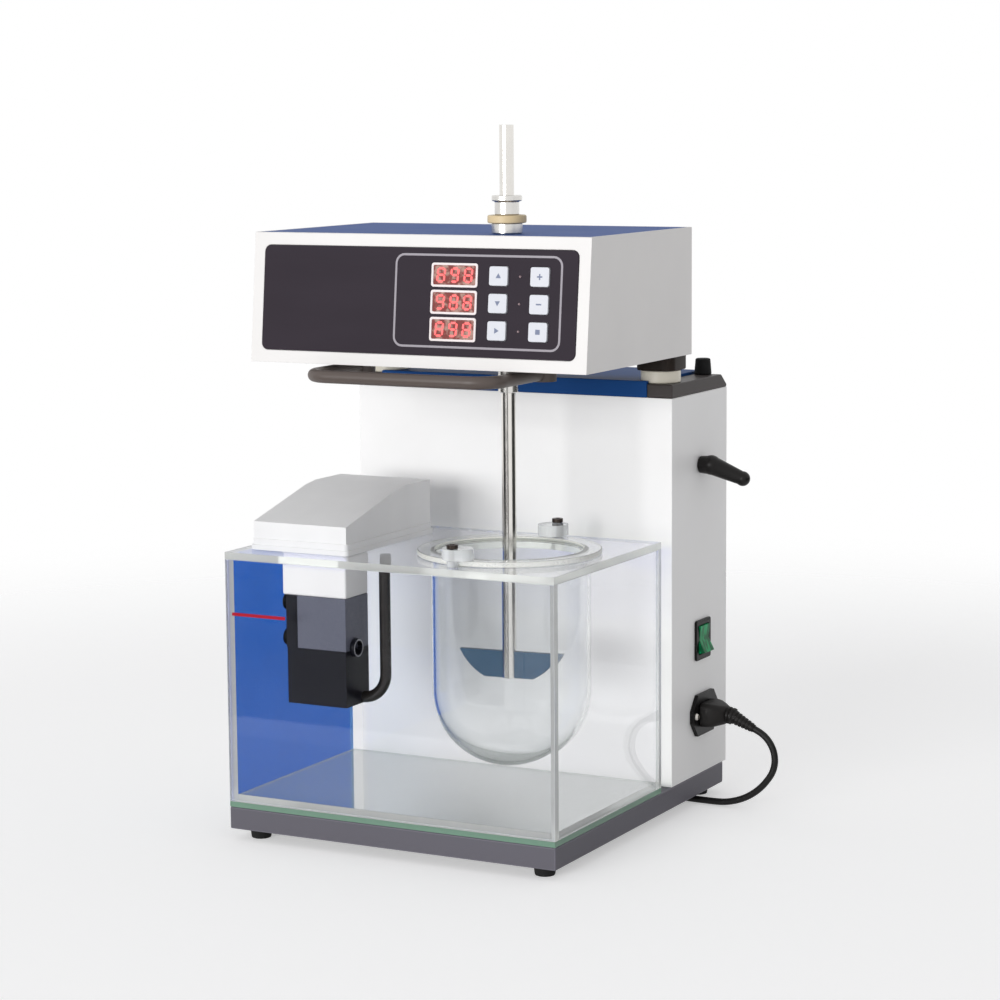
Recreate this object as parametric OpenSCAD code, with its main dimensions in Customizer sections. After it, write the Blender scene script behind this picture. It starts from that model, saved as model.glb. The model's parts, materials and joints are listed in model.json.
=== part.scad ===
// Bench dissolution tester: one round-bottom vessel in a clear heated bath,
// with a stirring head that lifts on two guide posts in a rear column.
// X is to the right, Y to the back, Z up; the feet stand on Z = 0.

/* [Base] */
// Width of the base, the bath and the column
base_w = 260; // [220:1:320]
// Depth of the base
base_d = 288; // [260:1:340]
// Thickness of the base slab
base_t = 16; // [10:1:24]
// Plan radius of the base's rear corners
base_corner_r = 8; // [2:1:20]
// Diameter of a foot
foot_d = 16; // [10:1:24]
// Height of a foot
foot_h = 8; // [7:0.5:12]
// Distance from the base's edges to a foot's axis
foot_inset = 16; // [14:1:40]
// Thickness of the glass plate under the bath
glass_t = 4; // [2:0.5:8]

/* [Bath] */
// Depth of the bath, outside
tank_d = 171; // [150:1:190]
// Height of the bath from the glass plate to the top of its lid
tank_h = 180; // [160:1:200]
// Thickness of the bath's walls
tank_wall = 5; // [3:0.5:8]
// Thickness of the bath's floor
tank_floor_t = 5; // [3:0.5:8]
// Thickness of the lid
lid_t = 5; // [4:0.5:8]
// Glue line between the plates of the bath
glue_line = 0.1; // [0.05:0.05:0.2]

/* [Vessel] */
// Outside diameter of the vessel
vessel_od = 109; // [100:0.5:114]
// Wall of the vessel
vessel_wall = 2.5; // [1.5:0.25:4]
// Height of the vessel from its round bottom to the lid's top
vessel_drop = 150; // [135:1:160]
// Diameter of the flange that rests on the lid
flange_od = 130; // [122:1:136]
// Thickness of the flange
flange_t = 4; // [3:0.5:6]
// Distance of the vessel's axis from the bath's right side
vessel_from_right = 75; // [70:1:90]
// Distance of the vessel's axis from the bath's front
vessel_from_front = 80; // [78:1:88]
// Clearance of the vessel in the lid's hole
vessel_clear = 1; // [0.5:0.25:2]

/* [Vessel retainers] */
// Diameter of a retainer's cam disc
retainer_d = 22; // [20:1:26]
// Thickness of a retainer's cam disc
retainer_t = 8; // [4:0.5:12]
// Directions of the retainers from the vessel's axis, in degrees
retainer_angles = [264, 88]; // [0:1:360]
// Diameter of a retainer's screw
retainer_screw_d = 4; // [3:0.5:5]
// Gap between the flange and a retainer's disc
retainer_gap = 0.3; // [0.2:0.1:1]

/* [Circulator] */
// Width of the circulator's cover
circ_w = 76; // [66:1:84]
// Depth of the circulator's cover
circ_d = 120; // [100:1:126]
// Height of the cover at its front
circ_front_h = 20; // [16:1:28]
// Height of the cover at its back
circ_back_h = 39.5; // [32:0.5:50]
// Depth of the cover's flat top
circ_flat_d = 36; // [20:1:50]
// Distance of the cover from the bath's left side
circ_from_left = 12; // [8:1:16]
// Distance of the cover from the bath's front
circ_from_front = 20; // [18:1:26]
// Wall of the cover
circ_wall = 2.5; // [1.5:0.25:4]
// Height of the cover's foot rim
circ_rim_h = 8; // [5:0.5:10]
// Overhang of the foot rim round the cover
circ_rim_out = 2; // [1:0.5:4]
// Width of the block under the lid
block_w = 52; // [46:1:56]
// Width of the pump under the block
pump_w = 48; // [40:1:54]
// Depth of the block and pump under the lid
pump_d = 31; // [26:1:36]
// Height of the block under the lid
block_h = 25.5; // [20:0.5:34]
// Height of the pump's upper case
pump_case_h = 37.5; // [32:0.5:46]
// Height of the pump's lower chamber
pump_chamber_h = 40; // [32:0.5:44]
// Wall of the pump's case
pump_wall = 2.5; // [2:0.5:4]
// Diameter of the impeller
impeller_d = 24; // [18:1:25]
// Outside diameter of the hose
hose_d = 8; // [6:0.5:10]
// Bore of the hose
hose_bore = 5; // [3:0.5:5.5]
// Bend radius of the hose's elbow
hose_bend_r = 18; // [12:1:20]

/* [Column] */
// Distance of the column from the bath
bath_gap = 18; // [12:1:30]
// Depth of the column
column_d = 99; // [90:1:105]
// Height of the column
column_h = 285; // [260:1:310]
// Sheet thickness of the column
column_wall = 2.5; // [1.5:0.25:4]
// Height of the blue cap on the column
cap_h = 12; // [11:0.5:16]
// Height of the dark end pieces beside the cap
cap_end_h = 10; // [8:0.5:10.5]
// Width of an end piece
cap_end_w = 20; // [16:1:24]
// Diameter of the rubber pegs at the rear
peg_d = 13; // [10:0.5:15]
// Height of the rubber pegs
peg_h = 12; // [8:1:16]

/* [Lift] */
// Diameter of the guide posts
post_d = 16; // [12:0.5:18]
// Radial clearance of the posts in their bushes
post_clear = 0.05; // [0.03:0.01:0.1]
// Distance of the posts' axes from the column's sides
post_inset = 17; // [16:1:20]
// Distance of the posts' axes from the column's front
post_from_front = 18; // [17:1:24]
// Diameter of the white flange of a bush
bush_flange_d = 29; // [26:1:32]
// Thickness of the white flange of a bush
bush_flange_t = 9; // [6:0.5:12]
// Outside diameter of a bush's sleeve
bush_od = 22; // [20:0.5:24]
// Length of a bush's sleeve
bush_sleeve = 40; // [30:1:50]
// Height of the dark sockets between bush and head
socket_h = 11; // [8:0.5:16]
// Travel of the head
lift = 110; // [95:1:120]
// Height of the clamp's axis above the column's foot
clamp_z = 232; // [180:1:235]
// Distance of the clamp's axis from the column's front
clamp_from_front = 50; // [46:1:56]
// Height of the beam that guides the posts
beam_h = 24; // [20:1:30]
// Depth of the beam that guides the posts
beam_d = 26; // [24:1:30]
// Slit of the clamp
clamp_slit = 2; // [1:0.5:3]
// Diameter of the clamp lever's spindle
lever_spindle_d = 8; // [6:0.5:10]
// Diameter of the clamp lever's hub at the column
lever_hub_d = 12.5; // [10:0.5:15]
// Length of the clamp lever's hub
lever_hub_l = 9; // [8:0.5:12]
// Reach of the lever's tip out from, behind and below its hub
lever_reach = [30, 9, -10]; // [-40:1:40]
// Diameter of the lever's grip at its bend
lever_grip_d = 14; // [10:0.5:15]
// Diameter of the lever's grip at its tip
lever_tip_d = 10; // [8:0.5:12]
// Diameter of the ball at the lever's tip
lever_ball_d = 11; // [9.5:0.5:14]

/* [Head] */
// Width of the head
head_w = 266; // [250:1:280]
// Depth of the head at its bottom
head_d = 173; // [170:1:185]
// Height of the head
head_h = 91.5; // [88:0.5:100]
// How far the front leans back over the head's height
head_lean = 9.4; // [0:0.2:14]
// How far the head reaches back past the posts' axes
head_behind_post = 10; // [8.5:0.5:16]
// Sheet thickness of the head's shell
shell_t = 2.5; // [2:0.25:3.5]
// Thickness of the head's floor
floor_t = 3; // [2:0.5:5]
// Width of the front panel
panel_w = 248; // [240:1:248]
// Height of the front panel
panel_h = 74; // [72:1:76]
// Thickness of the front panel
panel_t = 2; // [1.5:0.25:3]
// How far the front panel stands proud of the shell
panel_proud = 0.5; // [0.2:0.1:1]
// Plan radius of the front panel's corners
panel_r = 5; // [2:0.5:8]
// Ledge of the shell behind the front panel's edge
panel_ledge = 4; // [2:0.5:5]

/* [Displays and keys] */
// Width of a display
display_w = 36; // [30:1:38]
// Height of a display
display_h = 16.5; // [12:0.5:17]
// Width of the frame round a display
display_rim = 1; // [0.5:0.25:1]
// Place of the displays across the panel, from its middle
display_x = 30; // [28:1:34]
// Distance between the rows of displays and keys
row_pitch = 18.6; // [18.6:0.1:20]
// Places of the two columns of keys across the panel, from its middle
key_columns = [64.5, 96]; // [58:0.5:110]
// Width of a key
key_w = 14; // [10:0.5:16]
// Height of a key
key_h = 13; // [10:0.5:15]
// How far a key stands proud of the panel
key_proud = 1.6; // [1.2:0.1:3]
// Travel of a key
key_travel = 1; // [0.6:0.1:1.2]
// Clearance round a key
key_clear = 0.3; // [0.2:0.05:0.5]
// Depth from the panel's back to the control board
board_depth = 7.5; // [6:0.5:12]
// Thickness of the control board
board_t = 1.6; // [1:0.2:2.4]

/* [Drive] */
// Diameter of the stirrer shaft
shaft_d = 10; // [9:0.1:10.5]
// Radial clearance of the shaft in the spindle
shaft_clear = 0.04; // [0.02:0.01:0.1]
// Height of the shaft's top above the head
shaft_above = 74.5; // [50:0.5:120]
// Height of the blade's underside above the vessel's inner bottom
paddle_height = 59.5; // [40:0.5:80]
// Diameter of the spindle tube
spindle_d = 14; // [13:0.5:18]
// Length of the spindle's nose below the head
nose_h = 18; // [10:1:24]
// Diameter of the spindle's ring on the head
spindle_ring_d = 21.5; // [18:0.5:24]
// Height of the spindle's ring above the head
spindle_ring_h = 7.5; // [5:0.5:10]
// Diameter of the beige collar
collar_d = 27; // [24:0.5:32]
// Height of the beige collar
collar_h = 5.5; // [4:0.5:8]
// Height of the chuck nut
nut_h = 13.5; // [10:0.5:18]
// Diameter of the chuck nut's waist
nut_waist_d = 17; // [15:0.5:18]
// Diameter of the chuck nut's rim
nut_rim_d = 21; // [18:0.5:24]
// Outside diameter of the bearings
bearing_od = 28; // [26:1:30]
// Width of a bearing
bearing_w = 10; // [8:1:12]
// Height of the bearing housing
housing_h = 62; // [50:1:64]
// Diameter of the spindle's pulley
spindle_pulley_d = 40; // [34:1:42]
// Diameter of the motor's pulley
motor_pulley_d = 20; // [16:1:24]
// Distance between the spindle and the motor
belt_centres = 80; // [72:1:90]
// Diameter of the motor
motor_d = 50; // [40:1:50]
// Thickness of the belt
belt_t = 2.5; // [1.5:0.25:4]
// Gap between the belt and its pulleys
belt_gap = 0.3; // [0.2:0.05:0.5]

/* [Paddle] */
// Top chord of the blade
blade_top = 74.5; // [70:0.5:76]
// Radius of the blade's round ends
blade_r = 41.5; // [41:0.5:44]
// Height of the blade
blade_h = 19; // [15:0.5:20]
// Thickness of the blade
blade_t = 4; // [3:0.25:5]
// Direction of the blade, in degrees from X
blade_angle = 6; // [0:1:90]

/* [Handle] */
// Diameter of the lift handle's bar
handle_d = 9; // [7:0.5:11]
// Distance between the handle's arms, on their axes
handle_w = 146; // [130:1:156]
// How far the handle's bar stands in front of the head
handle_front = 25; // [20:1:35]
// Depth of the bar's axis below the head
handle_drop = 6; // [5.5:0.25:9]
// Length of the handle's arms
handle_arm = 80; // [60:1:90]
// Bend radius of the handle's corners
handle_bend_r = 18; // [12:1:24]
// Diameter of the handle's lugs
lug_d = 18; // [14:1:22]

/* [Mains] */
// Width of the rocker switch's bezel
bezel_w = 26; // [24:1:32]
// Height of the rocker switch's bezel
bezel_h = 30; // [28:1:34]
// Height of the rocker switch above the column's foot
switch_z = 101.5; // [90:0.5:130]
// Distance of the rocker switch from the column's front
switch_from_front = 53; // [50:0.5:62]
// Lean of the rocker at rest, in degrees
rocker_lean = 10; // [6:1:12]
// Width of the inlet's flange, with its ears
inlet_w = 46; // [44:1:50]
// Height of the inlet's flange
inlet_h = 31; // [26:1:34]
// Height of the inlet above the column's foot
inlet_z = 45.5; // [36:0.5:54]
// Distance of the inlet from the column's front
inlet_from_front = 55; // [54:0.5:64]
// Diameter of the mains cord
cord_d = 5; // [4.5:0.25:5.25]
// Turns of the put-away coil
coil_turns = 6.5; // [3.5:1:7.5]
// Least radius of the coil's turns
coil_r = 20.5; // [20:0.5:26]
// Gap between the coil's turns
coil_gap = 0.6; // [0.5:0.05:0.8]

/* [Hidden] */
$fn = 64;
cut = 1;

// Levels
base_top = foot_h + base_t;
glass_top = base_top + glass_t;
lid_top = glass_top + tank_h;
lid_low = lid_top - lid_t;
column_top = base_top + column_h;
end_top = column_top + cap_end_h;
bush_top = end_top + bush_flange_t;
head_low = bush_top + socket_h;
head_top = head_low + head_h;

// Plan places, before the whole is centred
left_x = -base_w / 2;
right_x = base_w / 2;
front_y = -base_d / 2;
back_y = base_d / 2;
tank_back_y = front_y + tank_d;
column_y = tank_back_y + bath_gap;
column_back_y = column_y + column_d;
vessel_x = right_x - vessel_from_right;
vessel_y = front_y + vessel_from_front;
post_x = right_x - post_inset;
post_y = column_y + post_from_front;
head_back = post_y + head_behind_post;
head_front = head_back - head_d;
centre_x = -(right_x + lever_reach[0] + lever_ball_d / 2 - max(head_w, base_w) / 2) / 2;

// Vessel
vessel_r = vessel_od / 2;
vessel_in_r = vessel_r - vessel_wall;
vessel_low = lid_top - vessel_drop;
vessel_ball_z = vessel_low + vessel_r;
flange_top = lid_top + flange_t;
boss_d = 2 * retainer_screw_d;
boss_gap = 1;
retainer_at = flange_od / 2 + boss_d / 2 + boss_gap;
boss_edge = 0.5;
retainer_off = retainer_d / 2 - boss_d / 2 - boss_edge;
disc_low = flange_top + retainer_gap;
disc_top = disc_low + retainer_t;
screw_fit = 0.05;
screw_head_h = 3;
screw_rise = 0.2;
screw_head_low = disc_top + screw_rise;

// Circulator and pump
circ_x = left_x + circ_from_left;
circ_y = front_y + circ_from_front;
circ_back_y = circ_y + circ_d;
block_gap = 1;
block_out = 3.5;
block_lap = 0.5;
neck_right = circ_x + circ_w - circ_wall - block_gap;
block_right = neck_right + block_out;
block_x = block_right - block_w;
pump_right = block_right - block_lap;
pump_x = pump_right - pump_w;
pump_y = circ_y;
pump_mid_x = pump_x + pump_w / 2;
pump_mid_y = pump_y + pump_d / 2;
block_low = lid_low - block_h;
case_low = block_low - pump_case_h;
chamber_low = case_low - pump_chamber_h;
block_flange = 3;
block_fit = 0.3;
impeller_rise = 6;
impeller_z = chamber_low + impeller_rise;
impeller_h = 10;
impeller_gap = 1;
impeller_pin_d = 3;
impeller_fit = 0.05;
hose_from_front = 24;
hose_y = pump_y + hose_from_front;
hose_z = chamber_low + hose_d / 2;
hose_x = pump_right + hose_bend_r;
heater_d = 6;
heater_span = 20;
heater_drop = 26;
cup_d = 12;
cup_h = 5;
cup_from_front = 8;
nozzle_d = 13;
nozzle_bore = 10;
nozzle_out = 3.5;
nozzle_from_mid = 4;
nozzle_rise = 1.5;
nozzle_y = pump_mid_y - nozzle_from_mid;
nozzle_z = case_low + nozzle_rise;

// Column
clamp_y = column_y + clamp_from_front;
clamp_level = base_top + clamp_z;
beam_low = clamp_level - beam_h / 2;
ear_edge = 4;
ear_back = clamp_y + lever_spindle_d + ear_edge;
post_spare = 10;
post_low = beam_low - lift - post_spare;
bush_clear = 0.2;
recess_clear = 0.4;
lever_clear = 0.3;
hub_gap = 0.3;
peg_from_back = 16;
peg_from_side = 6;
peg_y = column_back_y - peg_from_back;
peg_x = right_x - peg_d / 2 - peg_from_side;
switch_y = column_y + switch_from_front;
switch_level = base_top + switch_z;
bezel_lap = 3;
bezel_fit = 0.2;
bezel_wall = 1;
well_w = bezel_w - 2 * (bezel_lap + bezel_fit + bezel_wall);
well_h = bezel_h - 2 * (bezel_lap + bezel_fit + bezel_wall);
inlet_y = column_y + inlet_from_front;
inlet_level = base_top + inlet_z;

// Head
lean_angle = atan(head_lean / head_h);
face_h = head_h / cos(lean_angle);
wall_y = shell_t / cos(lean_angle);
panel_back = panel_proud - panel_t;
panel_fit = 0.2;
board_face = panel_back - board_depth;
small_r = 1.5;
key_lip = 1;
key_lip_t = 1.2;
cover_t = 2.5;
cover_gap = 0.4;
hole_clear = 2;
spindle_z = head_low - nose_h;
ring_low = head_top + cover_gap;
ring_top = head_top + spindle_ring_h;
collar_top = ring_top + collar_h;
nut_top = collar_top + nut_h;
shaft_top = head_top + shaft_above;
shaft_low = vessel_low + vessel_wall + paddle_height;
shaft_bore = shaft_d + 2 * shaft_clear;
floor_top = head_low + floor_t;
housing_top = floor_top + housing_h;
housing_foot = 4;
pulley_rise = 6;
pulley_low = housing_top + pulley_rise;
pulley_h = 12;
belt_h = 8;
motor_x = vessel_x - belt_centres;
motor_top = pulley_low - pulley_rise;
motor_shaft_d = 6;
motor_shaft_in = 15;
shaft_fit = 0.04;

// Handle
handle_z = head_low - handle_drop;
handle_y = head_front - handle_front;
lug_y = handle_y + handle_arm;
lug_below = 0.8;
lug_low = handle_z - handle_d / 2 - lug_below;

// Inlet, connector and cord
inlet_face = 3;
inlet_body_w = 28;
inlet_body_h = 21;
inlet_depth = 20;
inlet_fit = 0.2;
plug_w = 26;
plug_h = 18;
plug_l = 20;
plug_r = 4;
relief_l = 20;
relief_d = 11;
relief_end_d = cord_d + 1.5;
relief_tilt = 25;
relief_in = 3;
cord_r = cord_d / 2;
floor_gap = 0.2;
floor_z = cord_r + floor_gap;
cord_x = right_x + inlet_face + plug_l + relief_l * cos(relief_tilt);
cord_z = inlet_level - relief_l * sin(relief_tilt);
coil_x = -20;
coil_step = cord_d + coil_gap;
coil_rise = cord_d + coil_gap;
coil_out_r = coil_r + coil_step * coil_turns / 2;
coil_from_back = 13;
coil_y = back_y + coil_from_back + coil_out_r;
coil_rings = 24;
coil_sides = 6;
run_sides = 8;
run_steps = 2;
tail_l = cord_d;
run_y = coil_y - coil_out_r;
run_points = [
    [cord_x, inlet_y, cord_z],
    [cord_x + 7, inlet_y, cord_z - 3.6],
    [cord_x + 12.6, inlet_y, cord_z - 9],
    [cord_x + 16.1, inlet_y, cord_z - 16],
    [cord_x + 17, inlet_y, cord_z - 23.8],
    [cord_x + 15.2, inlet_y, cord_z - 31.4],
    [cord_x + 11.1, inlet_y, floor_z + 20.3],
    [cord_x + 6, inlet_y, floor_z + 14.4],
    [cord_x - 0.1, inlet_y, floor_z + 9.3],
    [cord_x - 6.8, inlet_y, floor_z + 5.3],
    [cord_x - 14.1, inlet_y, floor_z + 2.4],
    [cord_x - 21.7, inlet_y, floor_z + 0.6],
    [cord_x - 29.5, inlet_y, floor_z],
    [cord_x - 45.7, inlet_y, floor_z],
    [cord_x - 62, inlet_y + 1.5, floor_z],
    [cord_x - 75.2, inlet_y + 5.8, floor_z],
    [cord_x - 88, inlet_y + 12.8, floor_z],
    [cord_x - 99.1, inlet_y + 21.8, floor_z],
    [cord_x - 110.1, inlet_y + 31.7, floor_z],
    [cord_x - 121.1, inlet_y + 41.1, floor_z],
    [cord_x - 133.6, inlet_y + 49.2, floor_z],
    [cord_x - 147.1, run_y - 2.3, floor_z],
    [cord_x - 161.1, run_y, floor_z],
    [cord_x - 175.1, run_y, floor_z],
    [coil_x + tail_l, run_y, floor_z]
];

// Moves everything so that the whole stands centred on the origin
module placed() {
    translate([centre_x, 0, 0]) children();
}

// A flat rectangle with round corners, centred
module round_rect(w, h, r) {
    square([w - 2 * r, h], center = true);
    square([w, h - 2 * r], center = true);
    for (sx = [-1, 1], sy = [-1, 1])
        translate([sx * (w / 2 - r), sy * (h / 2 - r)]) circle(r);
}

// A plate with round upright corners, from a low corner to a high one
module round_plate(low, high, r) {
    size = high - low;
    translate([(low[0] + high[0]) / 2, (low[1] + high[1]) / 2, low[2]])
        linear_extrude(size[2]) round_rect(size[0], size[1], r);
}

// A box from its low corner to its high corner
module span(low, high) {
    translate(low) cube(high - low);
}

// An upright bar or ring between two levels
module upright(x, y, low, high, d) {
    translate([x, y, low]) cylinder(h = high - low, d = d);
}

// A bar along X between two places
module across(low_x, high_x, y, z, d) {
    translate([low_x, y, z]) rotate([0, 90, 0]) cylinder(h = high_x - low_x, d = d);
}

// A side outline in Y and Z, drawn out along X
module side_profile(low_x, high_x, points) {
    translate([low_x, 0, 0])
        rotate([90, 0, 90])
            linear_extrude(high_x - low_x) polygon(points);
}

// Puts a shape on the head's leaning face: X across, Y up it and Z out of it
module on_face(u = 0, v = 0, w = 0) {
    translate([0, head_front + head_lean / 2, head_low + head_h / 2])
        rotate([90 - lean_angle, 0, 0])
            translate([u, v, w]) children();
}

// Puts a shape on the column's right side: X back, Y up and Z out of it
module on_side(y, z) {
    translate([right_x, y, z]) rotate([90, 0, 90]) children();
}

// Base

module base_plate() {
    color("dimgray") placed() translate([0, 0, foot_h]) linear_extrude(base_t) {
        translate([left_x, front_y]) square([base_w, base_d - base_corner_r]);
        translate([left_x + base_corner_r, front_y]) square([base_w - 2 * base_corner_r, base_d]);
        for (side = [-1, 1])
            translate([side * (right_x - base_corner_r), back_y - base_corner_r]) circle(base_corner_r);
    }
}

module base_feet() {
    taper = 2;
    color("black") placed()
        for (sx = [-1, 1], sy = [-1, 1])
            translate([sx * (right_x - foot_inset), sy * (back_y - foot_inset), 0])
                cylinder(h = foot_h, d1 = foot_d - taper, d2 = foot_d);
}

module base_glass() {
    color("palegreen", 0.5) placed()
        span([left_x, front_y, base_top], [right_x, tank_back_y, glass_top]);
}

// Bath

module tank_floor() {
    color("lightgray", 0.6) placed()
        span([left_x + tank_wall, front_y + tank_wall, glass_top],
            [right_x - tank_wall, tank_back_y - tank_wall, glass_top + tank_floor_t]);
}

module tank_side(x) {
    span([x, front_y + tank_wall + glue_line, glass_top],
        [x + tank_wall, tank_back_y - tank_wall - glue_line, lid_low]);
}

module tank_walls() {
    color("aliceblue", 0.3) placed() {
        for (y = [front_y, tank_back_y - tank_wall])
            span([left_x, y, glass_top], [right_x, y + tank_wall, lid_low]);
        tank_side(right_x - tank_wall);
    }
}

module tank_left_wall() {
    color("royalblue", 0.5) placed() tank_side(left_x);
}

module tank_lid() {
    color("aliceblue", 0.4) placed() difference() {
        span([left_x, front_y, lid_low], [right_x, tank_back_y, lid_top]);
        upright(vessel_x, vessel_y, lid_low - cut, lid_top + cut, vessel_od + 2 * vessel_clear);
        span([block_x - block_fit, pump_y - block_fit, lid_low - cut],
            [neck_right + block_fit, pump_y + pump_d + block_fit, lid_top + cut]);
        at_retainers() upright(0, 0, lid_low - cut, lid_top + cut, retainer_screw_d + 2 * screw_fit);
    }
}

// Vessel and its retainers

module vessel() {
    color("lightcyan", 0.35) placed() translate([vessel_x, vessel_y, 0]) difference() {
        union() {
            upright(0, 0, lid_top, flange_top, flange_od);
            upright(0, 0, vessel_ball_z, lid_top, vessel_od);
            translate([0, 0, vessel_ball_z]) sphere(vessel_r);
        }
        upright(0, 0, vessel_ball_z, flange_top + cut, 2 * vessel_in_r);
        translate([0, 0, vessel_ball_z]) sphere(vessel_in_r);
    }
}

module at_retainers(which = [0, 1]) {
    for (i = which)
        translate([vessel_x, vessel_y, 0])
            rotate([0, 0, retainer_angles[i]])
                translate([retainer_at, 0, 0]) children();
}

module retainer(i) {
    color("whitesmoke", 0.5) placed() at_retainers([i]) difference() {
        union() {
            upright(0, 0, lid_top, disc_low, boss_d);
            upright(-retainer_off, 0, disc_low, disc_top, retainer_d);
        }
        upright(0, 0, lid_top - cut, disc_top + cut, retainer_screw_d + 2 * screw_fit);
    }
}

module front_retainer() { retainer(0); }
module back_retainer() { retainer(1); }

module retainer_screws() {
    color("dimgray") placed() at_retainers() difference() {
        union() {
            upright(0, 0, lid_low, screw_head_low, retainer_screw_d);
            upright(0, 0, screw_head_low, screw_head_low + screw_head_h, 2 * retainer_screw_d);
        }
        translate([0, 0, screw_head_low + screw_head_h / 2])
            cylinder(h = screw_head_h, d = retainer_screw_d, $fn = 6);
    }
}

// Circulator

module circulator_cover() {
    bend_y = circ_back_y - circ_flat_d;
    top_z = lid_top + circ_back_h;
    front_z = lid_top + circ_front_h;
    rim_mid = lid_top + circ_rim_h * 0.45;
    rim_r = 3;
    soft = 14;
    bend_drop = 2;
    color("white") placed() difference() {
        union() {
            side_profile(circ_x, circ_x + circ_w, [
                [circ_y, lid_top], [circ_back_y, lid_top], [circ_back_y, top_z], [bend_y, top_z],
                [bend_y - soft, top_z - bend_drop], [circ_y, front_z]
            ]);
            round_plate([circ_x - circ_rim_out, circ_y - circ_rim_out, lid_top],
                [circ_x + circ_w + circ_rim_out, circ_back_y + circ_rim_out, rim_mid], rim_r);
            round_plate([circ_x - circ_rim_out / 2, circ_y - circ_rim_out / 2, rim_mid],
                [circ_x + circ_w + circ_rim_out / 2, circ_back_y + circ_rim_out / 2, lid_top + circ_rim_h],
                rim_r);
        }
        side_profile(circ_x + circ_wall, circ_x + circ_w - circ_wall, [
            [circ_y + circ_wall, lid_top - cut], [circ_back_y - circ_wall, lid_top - cut],
            [circ_back_y - circ_wall, top_z - circ_wall], [bend_y, top_z - circ_wall],
            [bend_y - soft, top_z - bend_drop - circ_wall], [circ_y + circ_wall, front_z - circ_wall]
        ]);
    }
}

module circulator_block() {
    flange = circ_wall + block_gap;
    block_top = lid_low - glue_line;
    block_back = pump_y + pump_d;
    neck_top = lid_top + block_flange;
    color("white") placed() {
        span([block_x, pump_y, block_low], [block_right, block_back, block_top]);
        span([block_x, pump_y, block_top], [neck_right, pump_y + flange, lid_top]);
        span([block_x, pump_y + flange, block_top], [neck_right, block_back, neck_top]);
        span([block_x - flange, pump_y + flange, lid_top], [pump_mid_x, block_back + flange, neck_top]);
    }
}

module heating_element() {
    bend_z = block_low - heater_drop + heater_span / 2;
    color("silver") placed() translate([pump_mid_x, pump_mid_y, 0]) {
        for (side = [-1, 1])
            upright(side * heater_span / 2, 0, bend_z, block_low, heater_d);
        translate([0, 0, bend_z]) rotate([90, 180, 0])
            rotate_extrude(angle = 180) translate([heater_span / 2, 0]) circle(d = heater_d);
    }
}

module pump_case() {
    color("gray") placed() difference() {
        span([pump_x, pump_y, case_low], [pump_right, pump_y + pump_d, block_low]);
        span([pump_x + pump_wall, pump_y + pump_wall, case_low + pump_wall],
            [pump_right - pump_wall, pump_y + pump_d - pump_wall, block_low + cut]);
        across(pump_right - pump_wall - cut, pump_right + cut, nozzle_y, nozzle_z, nozzle_bore);
    }
}

module pump_chamber() {
    well_d = impeller_d + 2 * impeller_gap;
    well_top = impeller_z + impeller_h + impeller_gap;
    nozzle_end = pump_right + nozzle_out;
    color("black") placed() difference() {
        union() {
            span([pump_x, pump_y, chamber_low], [pump_right, pump_y + pump_d, case_low]);
            across(pump_right, nozzle_end, nozzle_y, nozzle_z, nozzle_d);
        }
        difference() {
            upright(pump_mid_x, pump_mid_y, chamber_low - cut, well_top, well_d);
            upright(pump_mid_x, pump_mid_y, chamber_low, well_top, impeller_pin_d);
        }
        across(pump_right - pump_wall, nozzle_end + cut, nozzle_y, nozzle_z, nozzle_bore);
        across(pump_mid_x, pump_right + cut, hose_y, hose_z, hose_bore);
    }
}

module pump_impeller() {
    vanes = 6;
    vane_t = 1.6;
    disc_t = 2;
    hub_d = 9;
    color("white") placed() translate([pump_mid_x, pump_mid_y, impeller_z]) difference() {
        union() {
            cylinder(h = disc_t, d = impeller_d);
            cylinder(h = impeller_h, d = hub_d);
            for (i = [0:vanes - 1])
                rotate([0, 0, 360 / vanes * i])
                    translate([hub_d / 2 - 1, -vane_t / 2, 0])
                        cube([impeller_d / 2 - hub_d / 2, vane_t, impeller_h]);
        }
        translate([0, 0, -cut]) cylinder(h = impeller_h + 2 * cut, d = impeller_pin_d + 2 * impeller_fit);
    }
}

module mounting_cups() {
    color("black") placed()
        for (z = [block_low - cup_d / 2, case_low + cup_d / 2])
            translate([pump_x, pump_y + cup_from_front, z]) rotate([0, -90, 0]) {
                cylinder(h = cup_h / 2, d = cup_d / 2);
                translate([0, 0, cup_h / 2]) cylinder(h = cup_h / 2, d1 = cup_d / 2, d2 = cup_d);
            }
}

module circulator_hose() {
    color("black") placed() {
        difference() {
            upright(hose_x, hose_y, hose_z + hose_bend_r, lid_low, hose_d);
            upright(hose_x, hose_y, hose_z + hose_bend_r - cut, lid_low + cut, hose_bore);
        }
        translate([pump_right, hose_y, hose_z + hose_bend_r]) rotate([90, 0, 0])
            rotate_extrude(angle = -90) translate([hose_bend_r, 0]) difference() {
                circle(d = hose_d);
                circle(d = hose_bore);
            }
    }
}

// Column

module column_housing() {
    inner_top = column_top - column_wall;
    color("white") placed() difference() {
        span([left_x, column_y, base_top], [right_x, column_back_y, column_top]);
        span([left_x + column_wall, column_y + column_wall, base_top - cut],
            [right_x - column_wall, column_back_y + cut, inner_top]);
        for (side = [-1, 1])
            upright(side * post_x, post_y, inner_top - cut, column_top + cut, bush_od + 2 * bush_clear);
        across(right_x - column_wall - cut, right_x + cut, clamp_y, clamp_level,
            lever_spindle_d + 2 * lever_clear);
        on_side(switch_y, switch_level) translate([0, 0, -column_wall - cut])
            linear_extrude(column_wall + 2 * cut)
                square([bezel_w - 2 * bezel_lap, bezel_h - 2 * bezel_lap], center = true);
        on_side(inlet_y, inlet_level) translate([0, 0, -column_wall - cut])
            linear_extrude(column_wall + 2 * cut) square([inlet_body_w, inlet_body_h], center = true);
    }
}

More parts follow.
